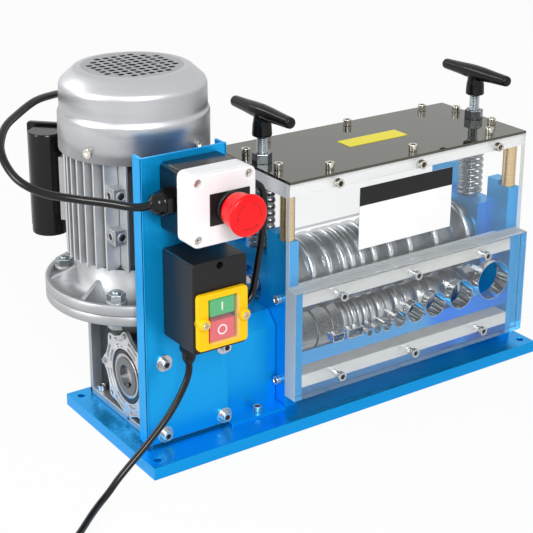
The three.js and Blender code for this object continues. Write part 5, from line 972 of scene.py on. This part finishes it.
keyed += [(-KEY_HALF, -KEY_DEPTH), (KEY_HALF, -KEY_DEPTH)]
drive = [(0, DRIVE_START), (DRIVE_RADIUS, DRIVE_START), (DRIVE_RADIUS, DRIVE_STEP), (SHAFT_RADIUS, DRIVE_END)]
drive_tip = plate(keyed, DRIVE_TIP_LENGTH, [], DRIVE_TIP_EDGE, DRIVE_TIP)
add_piece("lower_axle", [lathe(drive + shaft_end), drive_tip],
          bearing_metal, lower_at, "feed_roller", replaces="lower_shaft")
dress(bearing_metal, "motor_shaft")
dress(black_plastic, "cooling_fan")

# Gearbox

CORE_INSET, CORE_EDGE = 2, 1.2
FOOT_RISE, RIM_THICK = 8, 6
# Radius, then both ends and the bore
BOSS = (45, -40.6, 40.6, 21.2)
BOSS_EDGE = 0.8
LIP_SIZES = ((0, BOX_TOP), (97, BOX_TOP), (99, BOX_TOP + 2), (99, 149.6), (98, 150.4), (0, 150.4))
BOLT_CIRCLE, FLANGE_BOLTS = 82.5, 4
BOLT_ACROSS, BOLT_HEIGHT, BOLT_BORE = 17, 7.5, 10
BOLT_TIP_SIZES = ((0, 0), (4.9, 0), (4.9, 9), (4.2, 10), (0, 10))
FOOT_SCREWS_X, FOOT_SCREW_Y = (-234, -154), 69

motor_at = placed("z", (BOX_X, WORM_Y, 0))
add_piece("gearbox_body", block((BOX_X - BOX_HALF, BOX_FRONT + CORE_INSET, BASE_TOP),
                                (BOX_X + BOX_HALF, BOX_BACK - CORE_INSET, BOX_TOP)),
          cast_dark, edge=CORE_EDGE, replaces="gearbox_housing")
add_piece("gearbox_rims", [block((BOX_LEFT, low, BASE_TOP), (RIM_RIGHT, high, top)) for low, high, top in (
    (BOX_FRONT, BOX_BACK, BASE_TOP + FOOT_RISE), (BOX_BACK - RIM_THICK, BOX_BACK, BOX_TOP),
    (BOX_FRONT, BOX_FRONT + RIM_THICK, BOX_TOP))], cast_metal, edge=CORE_EDGE)
add_piece("gearbox_boss", rod(*BOSS), cast_dark, placed("x", (BOX_X, HEAD_Y, LOWER_AXIS)), edge=BOSS_EDGE)
add_piece("gearbox_flange", lathe(LIP_SIZES, FINE_ROUND), cast_metal, motor_at)
bolt_at = circle(BOLT_CIRCLE, FLANGE_BOLTS, (BOX_X, WORM_Y), TURN / 8)
bolt_parts = ((nut(BOLT_ACROSS, BOLT_HEIGHT), BOX_TOP - BOLT_HEIGHT),
              (nut(BOLT_ACROSS, BOLT_HEIGHT, BOLT_BORE), FLANGE_TOP),
              (lathe(BOLT_TIP_SIZES, SMALL_ROUND), FLANGE_TOP))
add_piece("flange_bolts", [(mesh, placed("z", (x, y, z))) for mesh, z in bolt_parts for x, y in bolt_at],
          zinc)
screws("gearbox_foot_screws", [((x, FOOT_SCREW_Y, BASE_TOP + FOOT_RISE), UP) for x in FOOT_SCREWS_X])

# Star covers of the gearbox, with their bolts, seals and rings

LOBES, STAR_SIDES = 8, 256
STAR_VALLEY, STAR_RISE, STAR_BACK, STAR_FRONT = 44, 7, 2.4, 2.6
STAR_BACK_SHARE, HIDDEN_STAR_SHARE = 0.995, 0.95
STAR_BACK_EDGE, STAR_FRONT_EDGE = 0.3, 0.4
STAR_BORE, STAR_WINDOW = 21.3, 30
LOBE_CIRCLE, LOBE_HOLE, LOBE_HOLE_SIDES = 46.2, 2.5, 24
# Each row of pockets: its inner and outer radius, and its share of the pitch
POCKETS = ((38.6, 42.6, 0.62), (32, 35.4, 0.66))
STAR_BOLT, STAR_BOLT_HEIGHT, STAR_BOLT_CHAMFER = 6, 2.5, 0.4
SEAL_SIZES = ((21.6, 2.4), (29.9, 2.4), (29.9, 3.4), (27.5, 3.9), (24, 3.4), (21.6, 3.4), (21.6, 2.4))
SHAFT_RING_SIZES = ((20.4, 3.3), (24.6, 3.3), (25, 3.9), (24.6, 4.5), (20.8, 4.5), (20.4, 3.9), (20.4, 3.3))


def star(scale=1.0):
    spokes = [TURN * k / STAR_SIDES for k in range(STAR_SIDES)]
    waves = [(0.5 + 0.5 * math.cos(LOBES * a)) ** 2 for a in spokes]
    return [polar((STAR_VALLEY + STAR_RISE * wave) * scale, a) for wave, a in zip(waves, spokes)]


def arc_hole(low, high, middle, spread, steps=10):
    angles = [middle - spread + 2 * spread * k / steps for k in range(steps + 1)]
    return [polar(high, a) for a in angles] + [polar(low, a) for a in reversed(angles)]


pockets = [arc_hole(low, high, TURN * (k + 0.5) / LOBES, TURN / 2 / LOBES * share)
           for low, high, share in POCKETS for k in range(LOBES)]
lobes = circle(LOBE_CIRCLE, LOBES)
lobe_holes = [circle(LOBE_HOLE, LOBE_HOLE_SIDES, at) for at in lobes[1::2]]
star_cover = [plate(star(STAR_BACK_SHARE), STAR_BACK, [circle(STAR_BORE), *lobe_holes], STAR_BACK_EDGE),
              plate(star(), STAR_FRONT, [circle(STAR_WINDOW), *pockets, *lobe_holes], STAR_FRONT_EDGE,
                    STAR_BACK)]
star_bolt = nut(STAR_BOLT, STAR_BOLT_HEIGHT, 0, STAR_BOLT_CHAMFER)
star_bolts = [(star_bolt, Matrix.Translation((*at, STAR_BACK + STAR_FRONT))) for at in lobes[::2]]
seal, shaft_ring = lathe(SEAL_SIZES), lathe(SHAFT_RING_SIZES)
hidden = turned(TURN / 2 / LOBES) @ Matrix.Diagonal((HIDDEN_STAR_SHARE, HIDDEN_STAR_SHARE, 1, 1))
# The left cover takes the lighter fin metal as painted light, and the right cover the darker shaded cast
# metal as painted shade.
for side, x, way, look in (("left", -235, Matrix.Rotation(math.pi, 4, "Y"), lit_fin_metal),
                           ("right", BRACKET_RIGHT, hidden, cast_dark)):
    star_at = placed("x", (x, HEAD_Y, LOWER_AXIS)) @ way
    add_piece(f"star_cover_{side}", star_cover, look, star_at, replaces=f"gearbox_cover_{side}")
    add_piece(f"star_bolts_{side}", star_bolts, zinc, star_at)
    add_piece(f"shaft_seal_{side}", seal, rubber, star_at)
    add_piece(f"shaft_ring_{side}", shaft_ring, bearing_metal, star_at)

# Motor

BARREL_SIZES = ((0, 150.5), (98, 150.5), (99, 151.5), (99, 161), (98, 162), (94.6, 162), (94, 161.4),
                (94, 157), (66, 157), (66, 186), (63, FIN_FLOOR), (63, FIN_TOP),
                (76.7, FIN_TOP), (76.7, MOTOR_TOP), (0, MOTOR_TOP))
CORE_SIZES = ((62, 188), (66.3, 188), (63.3, FIN_FLOOR + 1), (63.3, FIN_TOP - 0.5), (62, FIN_TOP - 0.5),
              (62, 188))
GUSSET_SIZES = ((63, 153), (96, 156), (96, 158.5), (66, 173), (63, 173))
FLANGE_BOSS_SIZES = ((0, 156), (11, 156), (11, 161.6), (10.6, 162), (0, 162))
GUSSETS, GUSSET_THICK, GUSSET_EDGE = 8, 5, 0.5
FIN_PITCH, FIN_THICK, FIN_REACH, FIN_ROWS, FIN_ROOT, FIN_EDGE = 10.8, 2.6, 75, 4, 3, 0.7
PAD_LOW, PAD_HIGH, PAD_HALF, PAD_EDGE, PAD_ROWS = 40, 57, 8.5, 0.9, (227, 271)
PAD_CORNERS = ((-1, -1), (1, -1), (1, 1))
PAD_RING, PAD_HOLE_SHADE = (5.6, 0, 0.8, 3.6, SMALL_ROUND), (3.7, 0, 0.4, 0, 24)
CAPACITOR_PAD_LOW, CAPACITOR_PAD_HIGH, CAPACITOR_PAD_EDGE = (58, -15, 218.5), (79.2, 15, 288.5), 0.8

add_piece("motor_barrel", lathe(BARREL_SIZES, FINE_ROUND), cast_metal, motor_at, replaces="motor_housing")
fins = []
fin_floor = FIN_FLOOR - FIN_ROOT
for k in range(-FIN_ROWS, FIN_ROWS + 1):
    near, far = k * FIN_PITCH - FIN_THICK / 2, k * FIN_PITCH + FIN_THICK / 2
    reach = math.sqrt(FIN_REACH ** 2 - (abs(k * FIN_PITCH) + FIN_THICK / 2) ** 2)
    fins += [block((-reach, near, fin_floor), (reach, far, FIN_TOP)),
             block((near, -reach, fin_floor), (far, reach, FIN_TOP))]
add_piece("motor_fins", fins, lit_fin_metal, motor_at, edge=FIN_EDGE)
gusset = plate(GUSSET_SIZES, GUSSET_THICK, [], GUSSET_EDGE, -GUSSET_THICK / 2)
stand_up = Matrix.Rotation(math.pi / 2, 4, "X")
add_piece("motor_gussets", [(gusset, turned(TURN * (k + 0.5) / GUSSETS) @ stand_up) for k in range(GUSSETS)],
          cast_metal, motor_at)
flange_boss = lathe(FLANGE_BOSS_SIZES, SMALL_ROUND)
add_piece("flange_bosses", [(flange_boss, placed("z", (x, y, 0))) for x, y in bolt_at], cast_metal)
add_piece("motor_core", lathe(CORE_SIZES), shaded_core_metal, motor_at)
pad_middle = (PAD_LOW + PAD_HIGH) / 2
pads, pad_places = [], []
for sx, sy in PAD_CORNERS:
    for z in PAD_ROWS:
        xs, ys = sorted((sx * PAD_LOW, sx * PAD_HIGH)), sorted((sy * PAD_LOW, sy * PAD_HIGH))
        pads.append(block((xs[0], ys[0], z - PAD_HALF), (xs[1], ys[1], z + PAD_HALF)))
        pad_places += [placed((sx, 0, 0), (sx * PAD_HIGH, sy * pad_middle, z)),
                       placed((0, sy, 0), (sx * pad_middle, sy * PAD_HIGH, z))]
add_piece("motor_pads", pads, cast_metal, motor_at, edge=PAD_EDGE)
# The black discs inside the pad rings are painted shade for the pads' holes.
for name, sizes, look in (("motor_pad_rings", PAD_RING, cast_metal),
                          ("motor_pad_hole_shades", PAD_HOLE_SHADE, black_plastic)):
    mesh = rod(*sizes)
    add_piece(name, [(mesh, place) for place in pad_places], look, motor_at)
capacitor_at = motor_at @ turned(CAPACITOR_TURN)
add_piece("capacitor_pad", block(CAPACITOR_PAD_LOW, CAPACITOR_PAD_HIGH), cast_metal, capacitor_at,
          edge=CAPACITOR_PAD_EDGE)

# Fan cover: a spun shell in three bands over a black liner that is painted shade inside it, and a pierced top

COVER_OUTSIDE = ((77, 304.3), (79, 304.3), (79, 340.5), (78.8, 342.4), (78, 344.4), (77.1, 346.2),
                 (76.8, 348.4), (76.5, 368), (76.3, 370.4), (75.6, 372.8), (74.4, 375), (62.5, 386),
                 (60, 387.6), (56.5, 388.3), (53, 388.3))
COVER_RIM_INSIDE = ((53, 386.3), (56, 386.3))
COVER_INSIDE = ((60, 385), (71.5, 374.2), (73.6, 370), (73.6, 354), (77, 337))
# The liner is a thin black shell inside the cover: painted shade that darkens the grille's holes.
LINER_FOOT = (76.6, 305)
LINER_RIM = (76.6, 337)
LINER_GAP, LINER_THICK = 0.4, 0.3
GRILLE_PITCH, GRILLE_HOLE, GRILLE_ROWS, GRILLE_REACH, GRILLE_CORNER = 9.8, 7.2, 4, 45, 0.5
GRILLE_RADIUS, GRILLE_MIDDLE, GRILLE_THICK, GRILLE_EDGE, GRILLE_FLOOR = 54, 4.6, 0.8, 0.1, 387.4
COVER_SCREWS, COVER_SCREW_START = 4, math.radians(25)
COVER_SCREW_AT = (78.4, 0, 314)
COVER_SCREW_SIZES = (10, 2.6, 5, 1.6)

cover_profile = [*COVER_OUTSIDE, *COVER_RIM_INSIDE, *COVER_INSIDE, COVER_OUTSIDE[0]]
add_piece("fan_cover_shell", lathe(cover_profile, COVER_ROUND), cover_metal, motor_at, replaces="fan_cover")
shade_liner = [(r - LINER_GAP, z) for r, z in (LINER_FOOT, LINER_RIM, *reversed(COVER_INSIDE[:-1]))]
shade_liner += [(r - LINER_THICK, z) for r, z in reversed(shade_liner)] + shade_liner[:1]
add_piece("fan_cover_shade_liner", lathe(shade_liner), black_plastic, motor_at)
rows = range(-GRILLE_ROWS, GRILLE_ROWS + 1)
grille_at = [(i * GRILLE_PITCH, j * GRILLE_PITCH) for i in rows for j in rows if i or j]
grille_holes = [rectangle(GRILLE_HOLE, GRILLE_HOLE, at, GRILLE_CORNER) for at in grille_at
                if math.hypot(*at) < GRILLE_REACH]
grille_holes.append(circle(GRILLE_MIDDLE, SMALL_ROUND))
add_piece("fan_cover_top", plate(circle(GRILLE_RADIUS, COVER_ROUND), GRILLE_THICK, grille_holes, GRILLE_EDGE,
                                 GRILLE_FLOOR), cover_flat, motor_at)
seats = [turned(COVER_SCREW_START + TURN * k / COVER_SCREWS) @ placed(RIGHT, COVER_SCREW_AT)
         for k in range(COVER_SCREWS)]
add_piece("fan_cover_screws", [(mesh, seat) for seat in seats for mesh in cap_screw(*COVER_SCREW_SIZES)],
          nickel, motor_at)

# Capacitor box and cord glands

CASE_WIDTH, CASE_STRAIGHT, CASE_LENGTH, CASE_EDGE, CASE_STEPS = 39, 16.5, 113, 1.6, 24
CASE_AT = (79.5, -24, 197)
LID, LID_MIDDLE, LID_FACE = (48, 119, 7, 3, 1), (103, 253.5), -24.3
LID_BOLTS_U, LID_BOLTS_Z, LID_BOLT_HEIGHT = (84, 112), (200, 307), 2.2
GLAND_ACROSS, STOP_GLAND_ACROSS, MAINS_GLAND_ACROSS = 19, 25, 16
GLAND_NUT, GLAND_NUT_SHARE, GLAND_CHAMFER = 8.5, 0.5, 0.9
GLAND_DOME_SHARE = 0.47
GLAND_LIP, GLAND_NECK, GLAND_WALL = 1.2, 2.2, 0.6
# Along the gland's length and across its dome, as shares of both
GLAND_RIB_SHARES = ((0.62, 0.97), (0.8, 0.86))
GLAND_NECK_SHARE = 0.93

half = CASE_WIDTH / 2
case_arc = [polar(half, math.pi * (1 - k / CASE_STEPS)) for k in range(CASE_STEPS + 1)]
case_outline = [(0, 0), *((half + x, CASE_STRAIGHT + y) for x, y in case_arc), (CASE_WIDTH, 0)]
add_piece("capacitor_case", plate(case_outline, CASE_LENGTH, [], CASE_EDGE), black_smooth,
          capacitor_at @ Matrix.Translation(CASE_AT), replaces="capacitor_box")
add_piece("capacitor_cover", slab(*LID, at=LID_MIDDLE), black_smooth,
          capacitor_at @ placed("y", (0, LID_FACE, 0)), replaces="capacitor_lid")
lid_bolt = nut(STAR_BOLT, LID_BOLT_HEIGHT, 0, STAR_BOLT_CHAMFER)
add_piece("capacitor_bolts", [(lid_bolt, placed(CAPACITOR_WAY, motor_local(u, CAPACITOR_FACE, z)))
                              for u in LID_BOLTS_U for z in LID_BOLTS_Z], zinc)


def gland(name, at, way, cord, length, across=GLAND_ACROSS):
    """Hexagon nut, ribbed dome and tapered strain relief."""
    flats = min(GLAND_NUT, length * GLAND_NUT_SHARE)
    wide = across * GLAND_DOME_SHARE
    ribs = [(wide * across_share, length * along_share) for along_share, across_share in GLAND_RIB_SHARES]
    dome = lathe([(0, flats - 1), (wide, flats - 1), (wide, flats + GLAND_LIP),
                  (wide * GLAND_NECK_SHARE, flats + GLAND_NECK), *ribs,
                  (cord / 2 + 2 * GLAND_WALL, length - 0.8), (cord / 2 + GLAND_WALL, length), (0, length)],
                 SMALL_ROUND)
    add_piece(name, [nut(across, flats, 0, GLAND_CHAMFER), dome], black_smooth, placed(way, at))


gland("capacitor_gland", motor_local(CAPACITOR_EXIT, CAPACITOR_FACE, CAPACITOR_GLAND_Z), CAPACITOR_WAY,
      MOTOR_LEAD, GLAND_SHORT)
stop_exits = [(x, STOP_GLAND_Y, STOP_Z) for x in STOP_GLANDS]
gland("stop_gland_left", stop_exits[0], LEFT, MOTOR_LEAD, GLAND_LONG, STOP_GLAND_ACROSS)
gland("stop_gland_right", stop_exits[1], RIGHT, LINK_LEAD, GLAND_LONG)
gland("mains_gland", (*MAINS_EXIT, SWITCH_FLOOR), DOWN, MAINS, GLAND_LONG, MAINS_GLAND_ACROSS)
gland("link_gland", LINK_END, RIGHT, LINK_LEAD, GLAND_SHORT)

# Sheet bracket and drive cover

LIP_THICK, LIP_BACK, LIP_LOW, LIP_EDGE = 3, -43, 150, 0.9
SHEET_EDGE = 0.4
BRACKET_SCREWS_X, BRACKET_SCREWS_Z = (-230, -158), (26, 107)
COVER_HALF, COVER_RISE, COVER_FOOT, COVER_BEND, COVER_THICK, COVER_BEND_LESS = 50, 106, 21, 14, 3, 0.5
COVER_SCREW_X, COVER_SCREW_REACH = -114, 60.5

bracket_middle = ((BRACKET_LEFT + BRACKET_RIGHT) / 2, (BRACKET_FLOOR + BRACKET_TOP) / 2)
add_piece("bracket_sheet", slab(BRACKET_RIGHT - BRACKET_LEFT, BRACKET_TOP - BRACKET_FLOOR,
                                BRACKET_BACK - BRACKET_FRONT, 0, SHEET_EDGE, at=bracket_middle),
          blue_upright, placed("y", (0, BRACKET_BACK, 0)), replaces="control_bracket")
lips = [block((x, BRACKET_FRONT, low), (x + LIP_THICK, LIP_BACK, BRACKET_TOP)) for x, low in (
    (BRACKET_LEFT, BRACKET_FLOOR), (BRACKET_RIGHT - LIP_THICK, LIP_LOW))]
add_piece("bracket_lips", lips, blue_upright, edge=LIP_EDGE)
screws("bracket_screws", [((x, BRACKET_FRONT, z), FRONT) for x in BRACKET_SCREWS_X for z in BRACKET_SCREWS_Z],
       with_washers=True)

thin = COVER_HALF - COVER_THICK
bent = COVER_BEND + COVER_BEND_LESS
sheet_half = [(COVER_HALF - COVER_BEND, COVER_RISE), (COVER_HALF, COVER_RISE - COVER_BEND),
              (COVER_HALF, COVER_THICK), (COVER_HALF + COVER_FOOT, COVER_THICK), (COVER_HALF + COVER_FOOT, 0),
              (thin, 0), (thin, COVER_RISE - bent), (COVER_HALF - bent, COVER_RISE - COVER_THICK)]
cover_sheet = sheet_half + [(-y, z) for y, z in reversed(sheet_half)]
add_piece("drive_cover", plate(cover_sheet, COVER_RIGHT - COVER_LEFT, [], SHEET_EDGE), blue_upright,
          placed("x", (COVER_LEFT, HEAD_Y, BASE_TOP)), replaces="coupling_cover")
screws("drive_cover_screws", [((COVER_SCREW_X, HEAD_Y + side * COVER_SCREW_REACH, BASE_TOP + COVER_THICK), UP)
                              for side in BOTH])

# Stop box

# Width, height, depth, corner and edge of each slab, then where the lid's face starts
STOP_BODY = (70, 70, 34, 7, 0.8)
STOP_LID = (72, 72, 21, 8, 0.5)
STOP_FACE = (72, 72, 6.2, 8, 1.6)
LEGEND = (45, 32, 1, 0.8, 0.2)
STOP_FACE_START = 20.8
STOP_JOINT, STOP_SCREW_FACE, COLLAR_FACE = -95, -116.5, -122
STOP_HOLE, STOP_HOLE_SHIFT = 11.6, 6
WELL, WELL_REACH = 4, 28.5
CROSS_HEAD, CROSS_HEAD_HEIGHT, CROSS_LONG, CROSS_THIN, CROSS_EDGE = 3.4, 2, 2.2, 0.5, 0.3
COLLAR_SIZES = ((11.6, 0), (16, 0), (16, 3.6), (15, 5), (11.6, 5), (11.6, 0))
HEAD_SIZES = ((0, 0), (16.5, 0), (17.4, 1), (18, 4), (18, 14), (18.4, 17), (20.2, 18.6), (21, 20), (21, 21.4),
              (20, 22.6), (17, 23.4), (12, 23.8), (0, 24))
HEAD_SIDES, STEM_EDGE = 120, 0.3
ARROW_LOW, ARROW_HIGH, ARROW_BARB, ARROW_TIP, ARROW_SPREAD, ARROW_START = 12.6, 13.4, 1, 0.16, 0.62, 0.5
ARROWS, ARROW_STEPS, ARROW_THICK, ARROW_EDGE, ARROW_DEPTH = 3, 14, 0.5, 0.1, 23.55

stop_corners = [(x * WELL_REACH, z * WELL_REACH) for x in BOTH for z in BOTH]
wells = [circle(WELL, SMALL_ROUND, at) for at in stop_corners]
stem_hole = circle(STOP_HOLE, ROUND, (STOP_HOLE_SHIFT, 0))
add_piece("stop_body", slab(*STOP_BODY), black_smooth, placed("y", (STOP_X, BRACKET_FRONT, STOP_Z)),
          replaces="estop_box")
add_piece("stop_lid", [slab(*STOP_LID, [stem_hole]), slab(*STOP_FACE, [stem_hole, *wells], STOP_FACE_START)],
          white_plastic, placed("y", (STOP_X, STOP_JOINT, STOP_Z)), replaces="estop_lid")
cross = [(-CROSS_LONG, -CROSS_THIN), (-CROSS_THIN, -CROSS_THIN), (-CROSS_THIN, -CROSS_LONG),
         (CROSS_THIN, -CROSS_LONG), (CROSS_THIN, -CROSS_THIN), (CROSS_LONG, -CROSS_THIN)]
cross += [(-x, -z) for x, z in cross]
lid_screw = plate(circle(CROSS_HEAD, SMALL_ROUND), CROSS_HEAD_HEIGHT, [cross], CROSS_EDGE)
add_piece("stop_lid_screws", [(lid_screw, placed("y", (STOP_X + x, STOP_SCREW_FACE, STOP_Z + z)))
                              for x, z in stop_corners], nickel)
add_piece("stop_collar", [slab(*LEGEND, [circle(STOP_HOLE)]), lathe(COLLAR_SIZES)], black_plastic,
          placed("y", (STOP_AXIS, COLLAR_FACE, STOP_Z)), replaces="estop_collar")
dress(black_plastic, "estop_stem", edge=STEM_EDGE)
head_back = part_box("estop_head")[1].y / MM
add_piece("stop_mushroom", lathe(HEAD_SIZES, HEAD_SIDES), red_head,
          placed("y", (STOP_AXIS, head_back, STOP_Z)), "stop_head", replaces="estop_head")


def arc_arrow(middle):
    """An arc band with an arrow head at its end."""
    angles = [middle - ARROW_SPREAD + 2 * ARROW_SPREAD * k / ARROW_STEPS for k in range(ARROW_STEPS + 1)]
    end = angles[-1]
    barbs = [polar(ARROW_HIGH + ARROW_BARB, end), polar((ARROW_LOW + ARROW_HIGH) / 2, end + ARROW_TIP),
             polar(ARROW_LOW - ARROW_BARB, end)]
    return [polar(ARROW_HIGH, a) for a in angles] + barbs + [polar(ARROW_LOW, a) for a in reversed(angles)]


arrows = [plate(arc_arrow(TURN * k / ARROWS + ARROW_START), ARROW_THICK, [], ARROW_EDGE)
          for k in range(ARROWS)]
add_piece("stop_arrows", arrows, groove_shade_red, placed("y", (STOP_AXIS, head_back - ARROW_DEPTH, STOP_Z)),
          "stop_head")

# Switch box

# Width, height, depth, corner and edge of each slab
CASE = (62, 95, 56.9, 4, 1.2)
BEZEL = (57.5, 59, 6, 5, 1)
BAR_MARK = (1.5, 8.5, 0.25, 0.3)
WINDOW_X, WINDOW_Z, WINDOW_CORNER = 33, 46, 1
CASE_HOLE, CASE_HOLE_RISE = 3.5, 41
INNER_BACK, INNER_FRONT, INNER_HALF, INNER_GAP, INNER_EDGE = -63, -100, 29, 2, 0.5
BEZEL_BOSS_SIZES = ((0, 0), (6.4, 0), (6, 10), (5, 11), (0, 11))
BEZEL_BOSS_REACH, BEZEL_SCREW_FACE = 23, -128.4
HOOD_HALF, HOOD_FRONT, HOOD_BACK, HOOD_EDGE = 16.4, -129.5, -124.1, 1.4
KEY_CORNER, KEY_EDGE, MARK_SINK = 1.2, 0.8, 0.1
RING_MARK, RING_MARK_HOLE = 5.4, 4

switch_middle = (SWITCH_FLOOR + SWITCH_TOP) / 2
case_window = rectangle(WINDOW_X, WINDOW_Z, (FRAME_X - SWITCH_X, FRAME_MIDDLE - switch_middle))
add_piece("switch_case", slab(*CASE, [case_window, circle(CASE_HOLE, SMALL_ROUND, (0, CASE_HOLE_RISE))]),
          black_plastic, placed("y", (SWITCH_X, BRACKET_FRONT, switch_middle)), replaces="switch_box")
add_piece("switch_case_back", block((SWITCH_X - INNER_HALF, INNER_FRONT, SWITCH_FLOOR + INNER_GAP),
                                    (SWITCH_X + INNER_HALF, INNER_BACK, SWITCH_TOP - INNER_GAP)),
          black_plastic, edge=INNER_EDGE)
bezel_boss = lathe(BEZEL_BOSS_SIZES, SMALL_ROUND)
boss_shifts = [Matrix.Translation((side * BEZEL_BOSS_REACH, 0, 0)) for side in BOTH]
add_piece("switch_bezel", [slab(*BEZEL, [rectangle(WINDOW_X, WINDOW_Z, (0, 0), WINDOW_CORNER)]),
                           *((bezel_boss, shift) for shift in boss_shifts)],
          yellow, placed("y", (FRAME_X, SWITCH_FRONT, FRAME_MIDDLE)), replaces="switch_frame")
add_piece("switch_bezel_screws", [(lid_screw, shift) for shift in boss_shifts], nickel,
          placed("y", (FRAME_X, BEZEL_SCREW_FACE, FRAME_MIDDLE)))
add_piece("switch_hood", block((FRAME_X - HOOD_HALF, HOOD_FRONT, FRAME_MIDDLE - WINDOW_Z / 2),
                               (FRAME_X + HOOD_HALF, HOOD_BACK, FRAME_MIDDLE + WINDOW_Z / 2)),
          hood_clear, edge=HOOD_EDGE, replaces="switch_cover")
ring_mark = plate(circle(RING_MARK, SMALL_ROUND), BAR_MARK[2], [circle(RING_MARK_HOLE, SMALL_ROUND)])
for node, body, look, mark in (("start_button", "start_key", green, slab(*BAR_MARK)),
                               ("stop_button", "stop_key", red_key, ring_mark)):
    low, high = (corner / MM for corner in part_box(node))
    size, middle = high - low, (low + high) / 2
    add_piece(f"{node}_key", slab(size.x, size.z, size.y, KEY_CORNER, KEY_EDGE), look,
              placed("y", (middle.x, high.y, middle.z)), body, replaces=node)
    add_piece(f"{node}_mark", mark, white_print, placed("y", (middle.x, low.y + MARK_SINK, middle.z)), body)

# Bare card on the front guard and bare plate on the top

# Width, height, thickness and corner of each card
CARD = (131, 71, 0.5, 1)
BAND = (131, 21, 0.2)
TOP_CARD = (83, 24, 0.4, 1)
CARD_X, CARD_TOP, CARD_GAP = 74.5, 251, 0.05
TOP_CARD_AT = (85.5, 4)

add_piece("card", slab(*CARD), white_print,
          placed("y", (CARD_X, GUARD_FRONT - CARD_GAP, CARD_TOP - CARD[1] / 2)))
add_piece("card_band", slab(*BAND), black_plastic,
          placed("y", (CARD_X, GUARD_FRONT - CARD_GAP - CARD[2], CARD_TOP - BAND[1] / 2)))
add_piece("top_card", slab(*TOP_CARD, start=PLATE_TOP + CARD_GAP, at=TOP_CARD_AT), yellow_print)

# Floor, world and lamps, in metres and watts

FLOOR_REACH, FLOOR_DROP = 6, 0.0002
FLOOR_GREY, FLOOR_ROUGHNESS = (0.8, 0.8, 0.8, 1), 0.9
WHITE = (1, 1, 1, 1)
# What the camera, clear pieces and reflections meet, after what all other rays meet
FLOOR_SHARES = (0.0, 0.94, 0.94, 0.4)
WORLD_SHARES = (0.42, 1.0, 1.0, 0.9)
# Each lamp's place, target, size and power
LAMPS = {
    "key": ((-0.9, -2.0, 1.5), (0, 0, 0.15), (0.9, 0.9), 40),
    "side": ((-2.0, 0.2, 1.0), (0, 0, 0.15), (0.5, 1.2), 18),
    "back": ((-1.4, 1.7, 1.5), (0, 0, 0.2), (1.0, 0.6), 8),
}

floor_mesh = mesh_of([(x * FLOOR_REACH, y * FLOOR_REACH, 0) for x, y in ((-1, -1), (1, -1), (1, 1), (-1, 1))],
                     [(0, 1, 2, 3)])
floor = bpy.data.objects.new("floor", floor_mesh)
floor.location.z = -FLOOR_DROP
bpy.context.scene.collection.objects.link(floor)
floor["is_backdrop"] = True


def by_ray(tree, others, *shares):
    """A value for each kind of ray that meets the floor or the world."""
    paths = tree.nodes.new("ShaderNodeLightPath")
    total = None
    for name, share in zip(("Is Camera Ray", "Is Transmission Ray", "Is Glossy Ray"), shares):
        part, most = (tree.nodes.new("ShaderNodeMath") for _ in range(2))
        part.operation, most.operation = "MULTIPLY", "MAXIMUM"
        part.inputs[1].default_value = share
        most.inputs[1].default_value = others
        tree.links.new(paths.outputs[name], part.inputs[0])
        tree.links.new(part.outputs[0], most.inputs[0])
        if total:
            tree.links.new(total, most.inputs[1])
        total = most.outputs[0]
    return total


floor_look = bpy.data.materials.new("floor")
floor_look.use_nodes = True
tree = floor_look.node_tree
ground = tree.nodes["Principled BSDF"]
ground.inputs["Base Color"].default_value = FLOOR_GREY
ground.inputs["Roughness"].default_value = FLOOR_ROUGHNESS
glow = tree.nodes.new("ShaderNodeEmission")
mixed = tree.nodes.new("ShaderNodeMixShader")
tree.links.new(by_ray(tree, *FLOOR_SHARES), mixed.inputs["Fac"])
tree.links.new(ground.outputs[0], mixed.inputs[1])
tree.links.new(glow.outputs[0], mixed.inputs[2])
tree.links.new(mixed.outputs[0], tree.nodes["Material Output"].inputs["Surface"])
floor_mesh.materials.append(floor_look)

world = bpy.data.worlds.new("world")
bpy.context.scene.world = world
world.use_nodes = True
tree = world.node_tree
sky = tree.nodes["Background"]
sky.inputs["Color"].default_value = WHITE
tree.links.new(by_ray(tree, *WORLD_SHARES), sky.inputs["Strength"])

for name, (at, target, size, watts) in LAMPS.items():
    data = bpy.data.lights.new(name, "AREA")
    data.shape = "RECTANGLE"
    data.size, data.size_y = size
    data.energy = watts
    lamp = bpy.data.objects.new(name, data)
    bpy.context.scene.collection.objects.link(lamp)
    lamp.location = at
    lamp.rotation_mode = "QUATERNION"
    lamp.rotation_quaternion = (Vector(target) - Vector(at)).to_track_quat("-Z", "Y")
bpy.context.scene.view_settings.view_transform = "Standard"

low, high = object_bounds()
